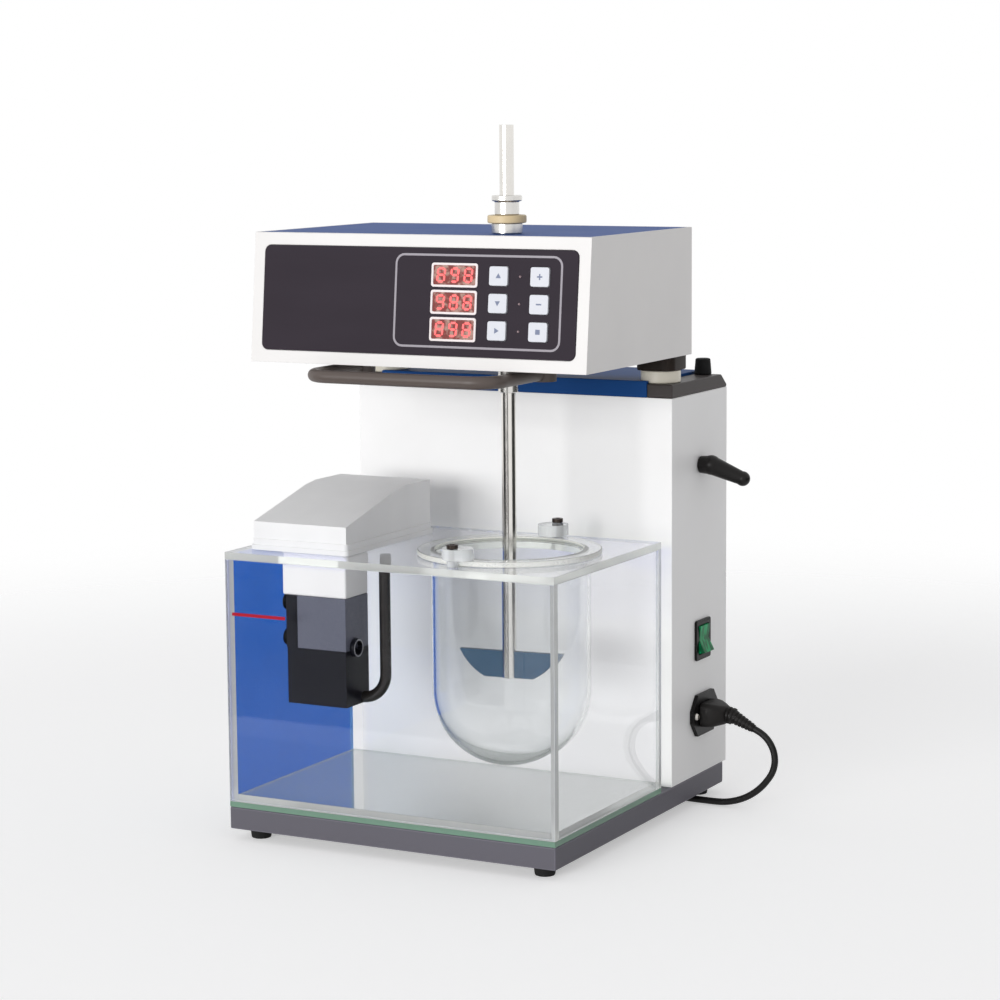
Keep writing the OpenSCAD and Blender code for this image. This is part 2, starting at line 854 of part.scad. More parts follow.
module column_back() {
    slots = 9;
    slot_pitch = 14;
    slot_w = 5;
    slot_h = 60;
    slot_z = base_top + column_h * 0.55;
    inner_y = column_back_y - column_wall;
    color("gainsboro") placed() difference() {
        span([left_x + column_wall, inner_y, base_top],
            [right_x - column_wall, column_back_y, column_top - column_wall]);
        for (i = [0:slots - 1])
            translate([(i - (slots - 1) / 2) * slot_pitch - slot_w / 2, inner_y - cut, slot_z])
                cube([slot_w, column_wall + 2 * cut, slot_h]);
    }
}

module column_cap() {
    top = column_top + cap_h;
    recess_floor = 1.5;
    top_t = cap_h - cap_end_h + recess_floor;
    end_x = right_x - cap_end_w;
    cap_inset = 4;
    cap_back = column_back_y - cap_inset;
    color("darkblue") placed() difference() {
        span([-end_x, column_y, column_top], [end_x, cap_back, top]);
        span([-end_x + column_wall, column_y + column_wall, column_top - cut],
            [end_x - column_wall, cap_back - column_wall, top - top_t]);
        for (side = [-1, 1]) {
            upright(side * post_x, post_y, end_top, top + cut, bush_flange_d + 2 * recess_clear);
            upright(side * post_x, post_y, column_top - cut, top + cut, bush_od + 2 * bush_clear);
        }
    }
}

module cap_ends() {
    slope = 10;
    rear_h = 2;
    color("dimgray") placed() for (side = [0, 1]) mirror([side, 0, 0]) difference() {
        side_profile(right_x - cap_end_w, right_x, [
            [column_y, column_top], [column_back_y, column_top], [column_back_y, column_top + rear_h],
            [column_back_y - slope, end_top], [column_y, end_top]
        ]);
        upright(post_x, post_y, column_top - cut, end_top + cut, bush_od + 2 * bush_clear);
    }
}

module cap_pegs() {
    taper = 2;
    color("black") placed() for (side = [-1, 1])
        translate([side * peg_x, peg_y, end_top]) cylinder(h = peg_h, d1 = peg_d, d2 = peg_d - taper);
}

// Lift

module guide_bushes() {
    color("ivory") placed() for (side = [-1, 1]) difference() {
        union() {
            upright(side * post_x, post_y, end_top, bush_top, bush_flange_d);
            upright(side * post_x, post_y, end_top - bush_sleeve, end_top, bush_od);
        }
        upright(side * post_x, post_y, end_top - bush_sleeve - cut, bush_top + cut,
            post_d + 2 * post_clear);
    }
}

module guide_beam() {
    inner_x = right_x - column_wall;
    ear_in = post_x - post_d;
    color("darkgray") placed() difference() {
        union() {
            span([-inner_x, post_y - beam_d / 2, beam_low],
                [inner_x, post_y + beam_d / 2, beam_low + beam_h]);
            span([ear_in, post_y, beam_low], [inner_x, ear_back, beam_low + beam_h]);
        }
        for (side = [-1, 1])
            upright(side * post_x, post_y, beam_low - cut, beam_low + beam_h + cut,
                post_d + 2 * post_clear);
        span([post_x - clamp_slit / 2, post_y, beam_low - cut],
            [post_x + clamp_slit / 2, ear_back + cut, beam_low + beam_h + cut]);
        across(ear_in - cut, inner_x + cut, clamp_y, clamp_level, lever_spindle_d + 2 * lever_clear);
    }
}

module clamp_lever() {
    spindle_in = post_inset + post_d;
    elbow_more = 0.6;
    grip = lever_reach - [lever_hub_l, 0, 0];
    grip_l = norm(grip);
    color("black") placed() {
        across(right_x - spindle_in, right_x + hub_gap, clamp_y, clamp_level, lever_spindle_d);
        translate([right_x + hub_gap, clamp_y, clamp_level]) rotate([0, 90, 0])
            cylinder(h = lever_hub_l - hub_gap, d1 = lever_hub_d, d2 = lever_grip_d);
        translate([right_x + lever_hub_l, clamp_y, clamp_level]) {
            sphere(d = lever_grip_d + elbow_more);
            rotate([0, acos(grip[2] / grip_l), atan2(grip[1], grip[0])])
                cylinder(h = grip_l, d1 = lever_grip_d, d2 = lever_tip_d);
            translate(grip) sphere(d = lever_ball_d);
        }
    }
}

module guide_posts() {
    color("silver") placed() for (side = [-1, 1])
        upright(side * post_x, post_y, post_low, head_low, post_d);
}

module post_sockets() {
    socket_w = bush_flange_d + 1;
    socket_back = 17;
    socket_r = 8;
    color("#3a3430") placed() for (side = [-1, 1]) difference() {
        round_plate([side * post_x - socket_w / 2, post_y - socket_w / 2, bush_top],
            [side * post_x + socket_w / 2, post_y + socket_back, head_low], socket_r);
        upright(side * post_x, post_y, bush_top - cut, head_low + cut, post_d + 2 * bush_clear);
    }
}

// Mains

module power_supply() {
    core_w = 74;
    core_d = 54;
    core_h = 50;
    bobbin_w = 46;
    bobbin_d = 64;
    bobbin_h = 40;
    supply_x = -40;
    color("slategray") placed() translate([supply_x, (column_y + column_back_y) / 2, base_top]) {
        translate([-core_w / 2, -core_d / 2, 0]) cube([core_w, core_d, core_h]);
        translate([-bobbin_w / 2, -bobbin_d / 2, (core_h - bobbin_h) / 2])
            cube([bobbin_w, bobbin_d, bobbin_h]);
    }
}

module rocker_bezel() {
    frame_t = 2;
    frame_r = 2;
    body_in = 12;
    color("black") placed() on_side(switch_y, switch_level) difference() {
        union() {
            linear_extrude(frame_t) round_rect(bezel_w, bezel_h, frame_r);
            translate([0, 0, -body_in]) linear_extrude(body_in)
                square([well_w + 2 * bezel_wall, well_h + 2 * bezel_wall], center = true);
        }
        translate([0, 0, -body_in + bezel_wall]) linear_extrude(body_in + frame_t)
            square([well_w, well_h], center = true);
    }
}

module rocker_switch() {
    rocker_w = well_w - 2 * hub_gap;
    half = well_h / 2 - 0.8;
    rise = 2;
    crown = 5;
    sink = -2;
    keel = -6;
    keel_half = 3;
    axle_l = well_w - 0.1;
    axle_d = 3;
    color("green") placed() on_side(switch_y, switch_level) {
        rotate([-rocker_lean, 0, 0]) rotate([90, 0, 90])
            translate([0, 0, -rocker_w / 2]) linear_extrude(rocker_w) polygon([
                [-half, sink], [-keel_half, keel], [keel_half, keel], [half, sink],
                [half, crown], [0, rise], [-half, crown]
            ]);
        rotate([0, 90, 0]) translate([0, 0, -axle_l / 2]) cylinder(h = axle_l, d = axle_d);
    }
}

module inlet_socket() {
    ear_h = 9;
    hole_d = 3.4;
    hole_in = 6;
    ear_x = inlet_w / 2;
    side_x = ear_x * 0.62;
    color("black") placed() on_side(inlet_y, inlet_level) difference() {
        union() {
            linear_extrude(inlet_face) polygon([
                [ear_x, -ear_h / 2], [ear_x, ear_h / 2], [side_x, inlet_h / 2], [-side_x, inlet_h / 2],
                [-ear_x, ear_h / 2], [-ear_x, -ear_h / 2], [-side_x, -inlet_h / 2], [side_x, -inlet_h / 2]
            ]);
            translate([0, 0, -inlet_depth]) linear_extrude(inlet_depth)
                square([inlet_body_w - 2 * inlet_fit, inlet_body_h - 2 * inlet_fit], center = true);
        }
        for (side = [-1, 1])
            translate([side * (inlet_w / 2 - hole_in), 0, -cut])
                cylinder(h = inlet_face + 2 * cut, d = hole_d);
    }
}

// Head

module head_outline(inset_y, inset_back, low, high) {
    lean_at = head_lean / head_h;
    side = (head_w - 2 * inset_back) / 2;
    side_profile(-side, side, [
        [head_front + inset_y + lean_at * (low - head_low), low],
        [head_back - inset_back, low],
        [head_back - inset_back, high],
        [head_front + inset_y + lean_at * (high - head_low), high]
    ]);
}

module head_shell() {
    color("white") placed() difference() {
        head_outline(0, 0, head_low, head_top);
        head_outline(wall_y, shell_t, head_low - cut, head_top + cut);
        on_face(w = panel_back) linear_extrude(panel_t + cut)
            round_rect(panel_w + 2 * panel_fit, panel_h + 2 * panel_fit, panel_r);
        on_face(w = -shell_t - cut) linear_extrude(shell_t + 2 * cut)
            square([panel_w - 2 * panel_ledge, panel_h - 2 * panel_ledge], center = true);
    }
}

module head_cover() {
    color("steelblue") placed() difference() {
        head_outline(wall_y, shell_t, head_top - cover_t, head_top);
        upright(vessel_x, vessel_y, head_top - cover_t - cut, head_top + cut, spindle_d + 2 * hole_clear);
    }
}

module head_floor() {
    side = head_w / 2 - shell_t;
    color("gray") placed() difference() {
        span([-side, head_front + wall_y + head_lean / head_h * floor_t, head_low],
            [side, head_back - shell_t, floor_top]);
        upright(vessel_x, vessel_y, head_low - cut, floor_top + cut, spindle_d + hole_clear);
    }
}

function key_place(i) = [key_columns[i % 2], (1 - floor(i / 2)) * row_pitch];

module front_panel() {
    color("#423c42") placed() on_face(w = panel_back) difference() {
        linear_extrude(panel_t) round_rect(panel_w, panel_h, panel_r);
        for (row = [-1:1])
            translate([display_x, row * row_pitch, -cut]) linear_extrude(panel_t + 2 * cut)
                square([display_w - 2 * display_rim + panel_fit, display_h - 2 * display_rim + panel_fit],
                    center = true);
        for (i = [0:5])
            translate([key_place(i)[0], key_place(i)[1], -cut]) linear_extrude(panel_t + 2 * cut)
                round_rect(key_w + 2 * key_clear, key_h + 2 * key_clear, small_r);
    }
}

module displays() {
    frame_t = 0.6;
    color("red") placed() for (row = [-1:1]) {
        on_face(display_x, row * row_pitch, panel_proud) linear_extrude(frame_t)
            round_rect(display_w, display_h, small_r);
        on_face(display_x, row * row_pitch, board_face) linear_extrude(panel_proud - board_face)
            square([display_w - 2 * display_rim, display_h - 2 * display_rim], center = true);
    }
}

module control_board() {
    board_w = 118;
    board_h = 50;
    board_x = 57;
    standoff_d = 5;
    standoff_in = 4;
    motor_gap = 2;
    color("darkgreen") placed() difference() {
        on_face(board_x, 0, board_face - board_t) {
            linear_extrude(board_t) square([board_w, board_h], center = true);
            for (sx = [-1, 1], sy = [-1, 1])
                translate([sx * (board_w / 2 - standoff_in), sy * (board_h / 2 - standoff_in), board_t])
                    cylinder(h = board_depth, d = standoff_d);
        }
        upright(motor_x, vessel_y, floor_top, motor_top + motor_gap, motor_d + 2 * motor_gap);
    }
}

module key(i) {
    place = key_place(i);
    lip_face = panel_back - key_lip_t;
    stem_low = board_face + key_travel + key_clear;
    stem_d = 5;
    color("aliceblue") placed() {
        on_face(place[0], place[1], panel_back)
            linear_extrude(panel_t + key_proud) round_rect(key_w, key_h, small_r);
        on_face(place[0], place[1], lip_face)
            linear_extrude(key_lip_t) square([key_w + 2 * key_lip, key_h + 2 * key_lip], center = true);
        on_face(place[0], place[1], stem_low) linear_extrude(lip_face - stem_low) circle(d = stem_d);
    }
}

module key_1() { key(0); }
module key_2() { key(1); }
module key_3() { key(2); }
module key_4() { key(3); }
module key_5() { key(4); }
module key_6() { key(5); }

// Drive

module drive_motor() {
    foot_side = motor_d + 6;
    foot_t = 4;
    color("gray") placed() difference() {
        union() {
            translate([motor_x - foot_side / 2, vessel_y - foot_side / 2, floor_top])
                cube([foot_side, foot_side, foot_t]);
            upright(motor_x, vessel_y, floor_top, motor_top, motor_d);
        }
        upright(motor_x, vessel_y, motor_top - motor_shaft_in - cut, motor_top + cut,
            motor_shaft_d + 2 * shaft_fit);
    }
}

module motor_pulley() {
    color("silver") placed() {
        upright(motor_x, vessel_y, motor_top - motor_shaft_in, pulley_low, motor_shaft_d);
        upright(motor_x, vessel_y, pulley_low, pulley_low + pulley_h, motor_pulley_d);
    }
}

// The flat outline round both pulleys, at a distance from them
module belt_outline(away) {
    hull() {
        circle(spindle_pulley_d / 2 + away);
        translate([-belt_centres, 0]) circle(motor_pulley_d / 2 + away);
    }
}

module drive_belt() {
    color("black") placed()
        translate([vessel_x, vessel_y, pulley_low + (pulley_h - belt_h) / 2])
            linear_extrude(belt_h) difference() {
                belt_outline(belt_gap + belt_t);
                belt_outline(belt_gap);
            }
}

module spindle_housing() {
    wall = 3;
    flange_w = 11;
    housing_od = bearing_od + 2 * wall;
    bearing_fit = 0.05;
    color("silver") placed() difference() {
        union() {
            upright(vessel_x, vessel_y, floor_top, floor_top + housing_foot, housing_od + 2 * flange_w);
            upright(vessel_x, vessel_y, floor_top, housing_top, housing_od);
        }
        upright(vessel_x, vessel_y, floor_top + housing_foot, housing_top + cut,
            bearing_od + 2 * bearing_fit);
        upright(vessel_x, vessel_y, floor_top - cut, floor_top + housing_foot + cut,
            spindle_d + hole_clear);
    }
}

module spindle_bearings() {
    low = floor_top + housing_foot;
    color("lightgray") placed() for (z = [low, housing_top - bearing_w]) difference() {
        upright(vessel_x, vessel_y, z, z + bearing_w, bearing_od);
        upright(vessel_x, vessel_y, z - cut, z + bearing_w + cut, spindle_d + 2 * shaft_fit);
    }
}

module spindle() {
    color("silver") placed() difference() {
        union() {
            upright(vessel_x, vessel_y, spindle_z, ring_top, spindle_d);
            upright(vessel_x, vessel_y, ring_low, ring_top, spindle_ring_d);
            upright(vessel_x, vessel_y, pulley_low, pulley_low + pulley_h, spindle_pulley_d);
        }
        upright(vessel_x, vessel_y, spindle_z - cut, ring_top + cut, shaft_bore);
    }
}

module chuck_collar() {
    color("wheat") placed() difference() {
        upright(vessel_x, vessel_y, ring_top, collar_top, collar_d);
        upright(vessel_x, vessel_y, ring_top - cut, collar_top + cut, shaft_bore);
    }
}

module chuck_nut() {
    rim = 4;
    color("silver") placed() difference() {
        union() {
            upright(vessel_x, vessel_y, collar_top, nut_top - rim, nut_waist_d);
            upright(vessel_x, vessel_y, nut_top - rim, nut_top, nut_rim_d);
        }
        upright(vessel_x, vessel_y, collar_top - cut, nut_top + cut, shaft_bore);
    }
}

module stirrer_shaft() {
    color("silver") placed() translate([vessel_x, vessel_y, 0]) rotate([0, 0, blade_angle]) difference() {
        upright(0, 0, shaft_low, shaft_top, shaft_d);
        span([-shaft_d, -blade_t / 2, shaft_low - cut], [shaft_d, blade_t / 2, shaft_low + blade_h]);
    }
}

module paddle_blade() {
    round_z = sqrt(blade_r * blade_r - blade_top * blade_top / 4);
    color("darkslategray") placed()
        translate([vessel_x, vessel_y, shaft_low + blade_h]) rotate([0, 0, blade_angle]) rotate([90, 0, 0])
            translate([0, 0, -blade_t / 2]) linear_extrude(blade_t) intersection() {
                translate([0, round_z]) circle(blade_r);
                translate([-blade_top, -blade_h]) square([2 * blade_top, blade_h]);
            }
}

// Handle

module lift_handle() {
    arm_x = handle_w / 2;
    corner_y = handle_y + handle_bend_r;
    recess_d = 8;
    recess_h = 3;
    color("#4a4038") placed() difference() {
        union() {
            across(-arm_x + handle_bend_r, arm_x - handle_bend_r, handle_y, handle_z, handle_d);
            for (side = [0, 1]) mirror([side, 0, 0]) {
                translate([arm_x - handle_bend_r, corner_y, handle_z])
                    rotate_extrude(angle = -90) translate([handle_bend_r, 0]) circle(d = handle_d);
                translate([arm_x, corner_y, handle_z]) rotate([-90, 0, 0])
                    cylinder(h = lug_y - corner_y, d = handle_d);
                upright(arm_x, lug_y, lug_low, head_low, lug_d);
            }
        }
        for (side = [-1, 1])
            upright(side * arm_x, lug_y, lug_low - cut, lug_low + recess_h, recess_d);
    }
}

// Mains cord

function unit(v) = v / norm(v);

function curve_point(p0, p1, p2, p3, t) =
    0.5 * (2 * p1 + (p2 - p0) * t + (2 * p0 - 5 * p1 + 4 * p2 - p3) * t * t
    + (3 * p1 - p0 - 3 * p2 + p3) * t * t * t);

function smooth_path(p, steps) = [
    for (i = [0:len(p) - 2]) for (j = [0:steps - 1])
        curve_point(p[max(i - 1, 0)], p[i], p[i + 1], p[min(i + 2, len(p) - 1)], j / steps),
    p[len(p) - 1]
];

function path_aims(p) = [
    for (i = [0:len(p) - 1]) unit(p[min(i + 1, len(p) - 1)] - p[max(i - 1, 0)])
];

function level(n, aim) = unit(n - aim * (n * aim));

function path_sides(aims, first) = [
    for (i = 0, n = level(first, aims[0]); i < len(aims);
        i = i + 1, n = i < len(aims) ? level(n, aims[i]) : n) n
];

function path_length(p) = [for (i = [1:len(p) - 1]) norm(p[i] - p[i - 1])] * [for (i = [1:len(p) - 1]) 1];

// A round cord of many flats, swept along a path of points
module swept_cord(p, d, sides) {
    aims = path_aims(p);
    outs = path_sides(aims, [0, 0, 1]);
    rings = len(p);
    skin = [
        for (i = [0:rings - 1]) for (j = [0:sides - 1])
            p[i] + d / 2 * (cos(360 * (j + 0.5) / sides) * outs[i]
                + sin(360 * (j + 0.5) / sides) * cross(aims[i], outs[i]))
    ];
    faces = [
        for (i = [0:rings - 2]) for (j = [0:sides - 1])
            for (half = [0, 1])
                let (k = (j + 1) % sides, a = i * sides, b = a + sides)
                    half == 0 ? [a + j, b + j, b + k] : [a + j, b + k, a + k],
        for (j = [1:sides - 2]) [0, j, j + 1],
        for (j = [1:sides - 2]) let (z = (rings - 1) * sides) [z, z + j + 1, z + j]
    ];
    polyhedron(points = skin, faces = faces);
}

function coil_lift(t) = t < -0.25 ? 0 : t > 0.25 ? 1 : 0.5 - 0.5 * cos(360 * (t + 0.25));

// A point of the coil, by turns counted from the middle of its climb
function coil_point(t) =
    let (r = coil_r + coil_step * abs(t), a = -90 - 360 * (t + coil_turns / 2))
        [coil_x + r * cos(a), coil_y + r * sin(a), floor_z + coil_rise * coil_lift(t)];

coil_count = ceil(coil_turns * coil_rings);
coil_end = coil_point(coil_turns / 2);
coil_path = [
    coil_point(-coil_turns / 2) + [tail_l, 0, 0],
    for (i = [0:coil_count]) coil_point(-coil_turns / 2 + coil_turns * i / coil_count),
    coil_end + [tail_l, 0, 0]
];
near_points = coil_rings / 2;
coil_least_gap = min([
    for (i = [0:len(coil_path) - 1]) for (j = [i + near_points:1:len(coil_path) - 1])
        norm(coil_path[i] - coil_path[j])
]) - cord_d;
run_path = smooth_path(run_points, run_steps);
cord_length = path_length(run_path) + path_length(coil_path);
echo(coil_least_gap = coil_least_gap, cord_length = cord_length);

module cord_connector() {
    color("black") placed() on_side(inlet_y, inlet_level) {
        translate([0, 0, inlet_face]) linear_extrude(plug_l) round_rect(plug_w, plug_h, plug_r);
        translate([0, 0, inlet_face + plug_l]) rotate([relief_tilt, 0, 0]) translate([0, 0, -relief_in])
            cylinder(h = relief_in + relief_l, d1 = relief_d, d2 = relief_end_d);
    }
}

module mains_cord() {
    color("black") placed() swept_cord(run_path, cord_d, run_sides);
}

module cord_coil() {
    color("black") placed() swept_cord(coil_path, cord_d, coil_sides);
}

module mains_plug() {
    start = coil_end + [tail_l, 0, 0];
    body_w = 28;
    body_t = 2 * (start[2] - floor_gap);
    body_l = 34;
    body_r = 6;
    pin_d = 4.8;
    pin_l = 18;
    pin_gap = 19;
    color("black") placed() translate(start) rotate([90, 0, 90]) {
        cylinder(h = relief_l, d1 = relief_end_d, d2 = relief_d);
        translate([0, 0, relief_l]) linear_extrude(body_l) round_rect(body_w, body_t, body_r);
        for (side = [-1, 1])
            translate([side * pin_gap / 2, 0, relief_l + body_l]) cylinder(h = pin_l, d = pin_d);
    }
}

base_plate();
base_feet();
base_glass();
tank_floor();
tank_walls();
tank_left_wall();
tank_lid();
vessel();
front_retainer();
back_retainer();
retainer_screws();
circulator_cover();
circulator_block();
heating_element();
pump_case();
pump_chamber();
pump_impeller();
mounting_cups();
circulator_hose();
column_housing();
column_back();
column_cap();
cap_ends();
cap_pegs();
guide_bushes();
guide_beam();
clamp_lever();
power_supply();
rocker_bezel();
rocker_switch();
inlet_socket();
head_shell();
head_cover();
head_floor();
front_panel();
displays();
control_board();
key_1();
key_2();
key_3();
key_4();
key_5();
key_6();
drive_motor();
motor_pulley();
drive_belt();
spindle_housing();
spindle_bearings();
spindle();
chuck_collar();
chuck_nut();
stirrer_shaft();
paddle_blade();
lift_handle();
guide_posts();
post_sockets();
cord_connector();
mains_cord();
cord_coil();
mains_plug();
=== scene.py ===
"""Looks of a bench dissolution tester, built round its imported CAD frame.

Lengths are in metres in the frame's own axes: X to the right, Y to the back, Z up.
Sizes written in millimetres are multiplied by MM.
"""

import json
import math

import bmesh
import bpy
from bpy.props import FloatProperty, FloatVectorProperty, IntProperty, PointerProperty, StringProperty
from mathutils import Matrix, Vector


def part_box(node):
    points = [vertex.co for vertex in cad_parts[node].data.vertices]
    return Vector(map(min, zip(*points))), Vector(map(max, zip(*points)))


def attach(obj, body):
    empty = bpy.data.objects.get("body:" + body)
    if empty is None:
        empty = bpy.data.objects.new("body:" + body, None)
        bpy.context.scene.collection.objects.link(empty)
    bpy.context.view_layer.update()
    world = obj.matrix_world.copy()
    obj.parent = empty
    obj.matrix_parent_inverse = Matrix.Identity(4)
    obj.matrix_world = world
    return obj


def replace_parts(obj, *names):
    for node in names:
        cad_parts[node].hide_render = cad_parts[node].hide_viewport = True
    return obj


bl_info = {
    "name": "Dissolution tester looks",
    "version": (1, 0, 0),
    "blender": (4, 5, 0),
    "location": "3D View > Sidebar > Tester",
    "description": "Finishes, small fittings, mains lead and stage of a packed dissolution tester",
    "category": "Object",
}

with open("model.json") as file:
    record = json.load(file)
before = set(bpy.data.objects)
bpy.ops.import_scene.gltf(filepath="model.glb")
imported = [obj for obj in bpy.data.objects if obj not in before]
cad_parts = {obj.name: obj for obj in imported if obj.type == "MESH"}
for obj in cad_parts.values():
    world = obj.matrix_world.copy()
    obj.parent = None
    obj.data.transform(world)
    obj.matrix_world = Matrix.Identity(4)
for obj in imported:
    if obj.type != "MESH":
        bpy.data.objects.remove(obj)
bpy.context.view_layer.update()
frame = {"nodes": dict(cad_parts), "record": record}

MM = 0.001
RIGHT, BACK, UP = Vector((1, 0, 0)), Vector((0, 1, 0)), Vector((0, 0, 1))
NODES = frame["nodes"]
RECORD = frame["record"]
BODY = {node: body for body, nodes in RECORD["behaviour"]["bodies"].items() for node in nodes}

JOIN_DISTANCE = 0.002 * MM
FLAT_ANGLE = math.radians(0.4)
SHARP_ANGLE = math.radians(38)


def tone(red, green, blue):
    """A colour given in eight-bit display values, as the linear one that shaders take."""

    def linear(level):
        share = level / 255
        return share / 12.92 if share <= 0.04045 else ((share + 0.055) / 1.055) ** 2.4

    return linear(red), linear(green), linear(blue)


def shaded(colour, share):
    """A colour made darker, or lighter where share is over 1."""
    return tuple(min(1.0, part * share) for part in colour)


# Settings


def length(name, description, default):
    """A size in metres, given in millimetres."""
    return FloatProperty(name=name, description=description, default=default * MM, unit="LENGTH")


def angle(name, description, default):
    """An angle, given in degrees."""
    return FloatProperty(
        name=name, description=description, default=math.radians(default), subtype="ANGLE", unit="ROTATION"
    )


def paint_colour(name, description, default):
    """A colour that a user may change, given in eight-bit display values."""
    return FloatVectorProperty(
        name=name, description=description, default=tone(*default), size=3, min=0, max=1, subtype="COLOR"
    )


class StageSettings(bpy.types.PropertyGroup):
    """Camera, floor and light."""

    camera_place: FloatVectorProperty(
        name="Camera place", description="Where the camera stands",
        default=(0.94775, -1.7944, 0.5194), size=3, subtype="TRANSLATION", unit="LENGTH",
    )
    camera_turn: angle("Camera turn", "Turn of the view from the front towards the right side", 27.901)
    camera_rise: angle("Camera rise", "Tilt of the view down from level", 7.975)
    camera_roll: angle("Camera roll", "Turn of the picture about the line of sight", -0.462)
    camera_lens: FloatProperty(name="Lens", description="Focal length", default=101.895, unit="CAMERA")
    floor_radius: length("Floor radius", "Where the floor has faded into the backdrop", 1500)
    low_sky: FloatProperty(name="Low sky", description="Strength of the sky near the horizon", default=0.72)
    high_sky: FloatProperty(name="High sky", description="Strength of the sky overhead", default=0.3)
    key_light: FloatProperty(name="Key light", description="Power of the lamp", default=216, unit="POWER")


class ColourSettings(bpy.types.PropertyGroup):
    """Main colours of the tester."""

    white: paint_colour("White paint", "Column", (250, 249, 248))
    # The head's white is a darker copy of the column's white paint: painted shade, which holds back the
    # head's more brightly lit front
    head: paint_colour("Head white", "Front and sides of the head", (233, 231, 229))
    moulding: paint_colour("White plastic", "Circulator cover and block", (240, 240, 240))
    base: paint_colour("Base grey", "Base slab", (92, 90, 99))
    cover: paint_colour("Cover blue", "Top of the head", (58, 94, 164))
    cap: paint_colour("Cap blue", "Cap of the column", (22, 70, 130))
    panel: paint_colour("Panel film", "Front panel", (56, 50, 57))
    tint: paint_colour("Tank blue", "Left wall of the bath", (32, 94, 186))
    handle: paint_colour("Handle brown", "Lift handle", (88, 78, 73))
    collar: paint_colour("Collar beige", "Chuck collar", (222, 200, 158))
    rocker: paint_colour("Rocker green", "Rocker switch", (14, 132, 80))
    blade: paint_colour("Blade blue", "Paddle blade", (50, 74, 96))


class LeadSettings(bpy.types.PropertyGroup):
    """Mains lead."""

    diameter: length("Diameter", "Diameter of the cord", 5)
    turns: FloatProperty(name="Turns", description="Turns of the put-away coil", default=6.5)
    least_radius: length("Least radius", "Least radius of the coil's turns", 20.5)
    gap: length("Gap", "Gap between the coil's turns", 0.6)
    tail: length("Tail", "Straight end of the coil", 5)
    sides: IntProperty(name="Sides", description="Sides of the cord's round section", default=16)


class PanelSettings(bpy.types.PropertyGroup):
    """Front panel."""

    outline_width: length("Outline width", "Width of the printed outline", 129.6)
    outline_height: length("Outline height", "Height of the printed outline", 64.5)
    outline_line: length("Outline line", "Width of the printed line", 1.5)
    outline_across: length("Outline place", "Middle of the outline from the panel's middle", 47.8)
    readings: StringProperty(name="Readings", description="Digits of the displays", default="898 988 898")
    digit_width: length("Digit width", "Width of a digit between its upright bars", 5.4)
    digit_height: length("Digit height", "Height of a digit between its top and bottom bars", 9)
    digit_pitch: length("Digit pitch", "Distance between two digits", 10.6)
    segment_width: length("Segment width", "Width of a lit bar", 1.5)


# Node trees


class Graph:
    """A node tree, with a method that adds any node to it and short ones for common nodes."""

    def __init__(self, tree):
        self.tree = tree

    def join(self, socket, value):
        """Links a socket to a wire, or sets its plain value."""
        if isinstance(value, Wire):
            self.tree.links.new(value.socket, socket)
        elif socket.type == "RGBA" and len(value) == 3:
            socket.default_value = (*value, 1.0)
        else:
            socket.default_value = value

    def node(self, kind, settings=None, inputs=None, output=0):
        """Adds a node, sets it up, joins its sockets and gives back one of its outputs."""
        made = self.tree.nodes.new(kind)
        for name, value in (settings or {}).items():
            setattr(made, name, value)
        for name, value in (inputs or {}).items():
            for part in value if isinstance(value, list) else [value]:
                self.join(made.inputs[name], part)
        return Wire(self, made.outputs[output]) if made.outputs else made

    def math(self, operation, first, second):
        """A sum of two wires or numbers."""
        return self.node("ShaderNodeMath", {"operation": operation}, {0: first, 1: second})

    def ray(self, kind):
        """What the light path says of a ray, such as whether it is of a kind."""
        return self.node("ShaderNodeLightPath", output=kind)

    def blend(self, share, first, second):
        """A surface between two others."""
        return self.node("ShaderNodeMixShader", inputs={0: share, 1: first, 2: second})


class Wire:
    """An output socket; sums on it add Math nodes to its tree."""

    def __init__(self, graph, socket):
        self.graph = graph
        self.socket = socket

    def __add__(self, other):
        return self.graph.math("ADD", self, other)

    def __sub__(self, other):
        return self.graph.math("SUBTRACT", self, other)

    def __mul__(self, other):
        return self.graph.math("MULTIPLY", self, other)

    __radd__ = __add__
    __rmul__ = __mul__


class Finish(Graph):
    """A material in the making, on Object coordinates."""

    def __init__(self, name, **plain):
        self.material = bpy.data.materials.new(name)
        self.material.use_nodes = True
        super().__init__(self.material.node_tree)
        self.shader = self.tree.nodes["Principled BSDF"]
        self.surface = Wire(self, self.shader.outputs["BSDF"])
        self.end = self.tree.nodes["Material Output"]
        self.set(**plain)

    def set(self, **values):
        """Sets or links the shader's sockets, with _ for the spaces in their names."""
        for name, value in values.items():
            self.join(self.shader.inputs[name.replace("_", " ")], value)

    def place(self, stretch=None):
        """Object coordinates, stretched along the axes."""
        where = self.node("ShaderNodeTexCoord", output="Object")
        if stretch:
            where = self.node("ShaderNodeMapping", inputs={"Vector": where, "Scale": stretch})
        return where

    def grain(self, size, detail=2.0, stretch=None):
        """Noise from 0 to 1, whose lumps are about a size across."""
        inputs = {"Vector": self.place(stretch), "Scale": 1 / size, "Detail": detail}
        return self.node("ShaderNodeTexNoise", inputs=inputs, output="Fac")

    def step(self, value, low, high):
        """Goes from 0 to 1 as a value passes from low to high."""
        settings = {"interpolation_type": "SMOOTHSTEP"}
        return self.node("ShaderNodeMapRange", settings, {"Value": value, "From Min": low, "From Max": high})

    def mixed(self, share, first, second):
        """A colour between two others."""
        return self.node("ShaderNodeMix", {"data_type": "RGBA"}, {0: share, 6: first, 7: second}, output=2)

    def shade(self, share, colour, dark, light):
        """Lets the surface go from a darker to a lighter form of a colour."""
        self.set(Base_Color=self.mixed(share, shaded(colour, dark), shaded(colour, light)))

    def relief(self, height, depth, strength):
        """Raises the surface by a height from 0 to 1 times a depth."""
        inputs = {"Height": height, "Distance": depth, "Strength": strength}
        self.set(Normal=self.node("ShaderNodeBump", inputs=inputs))


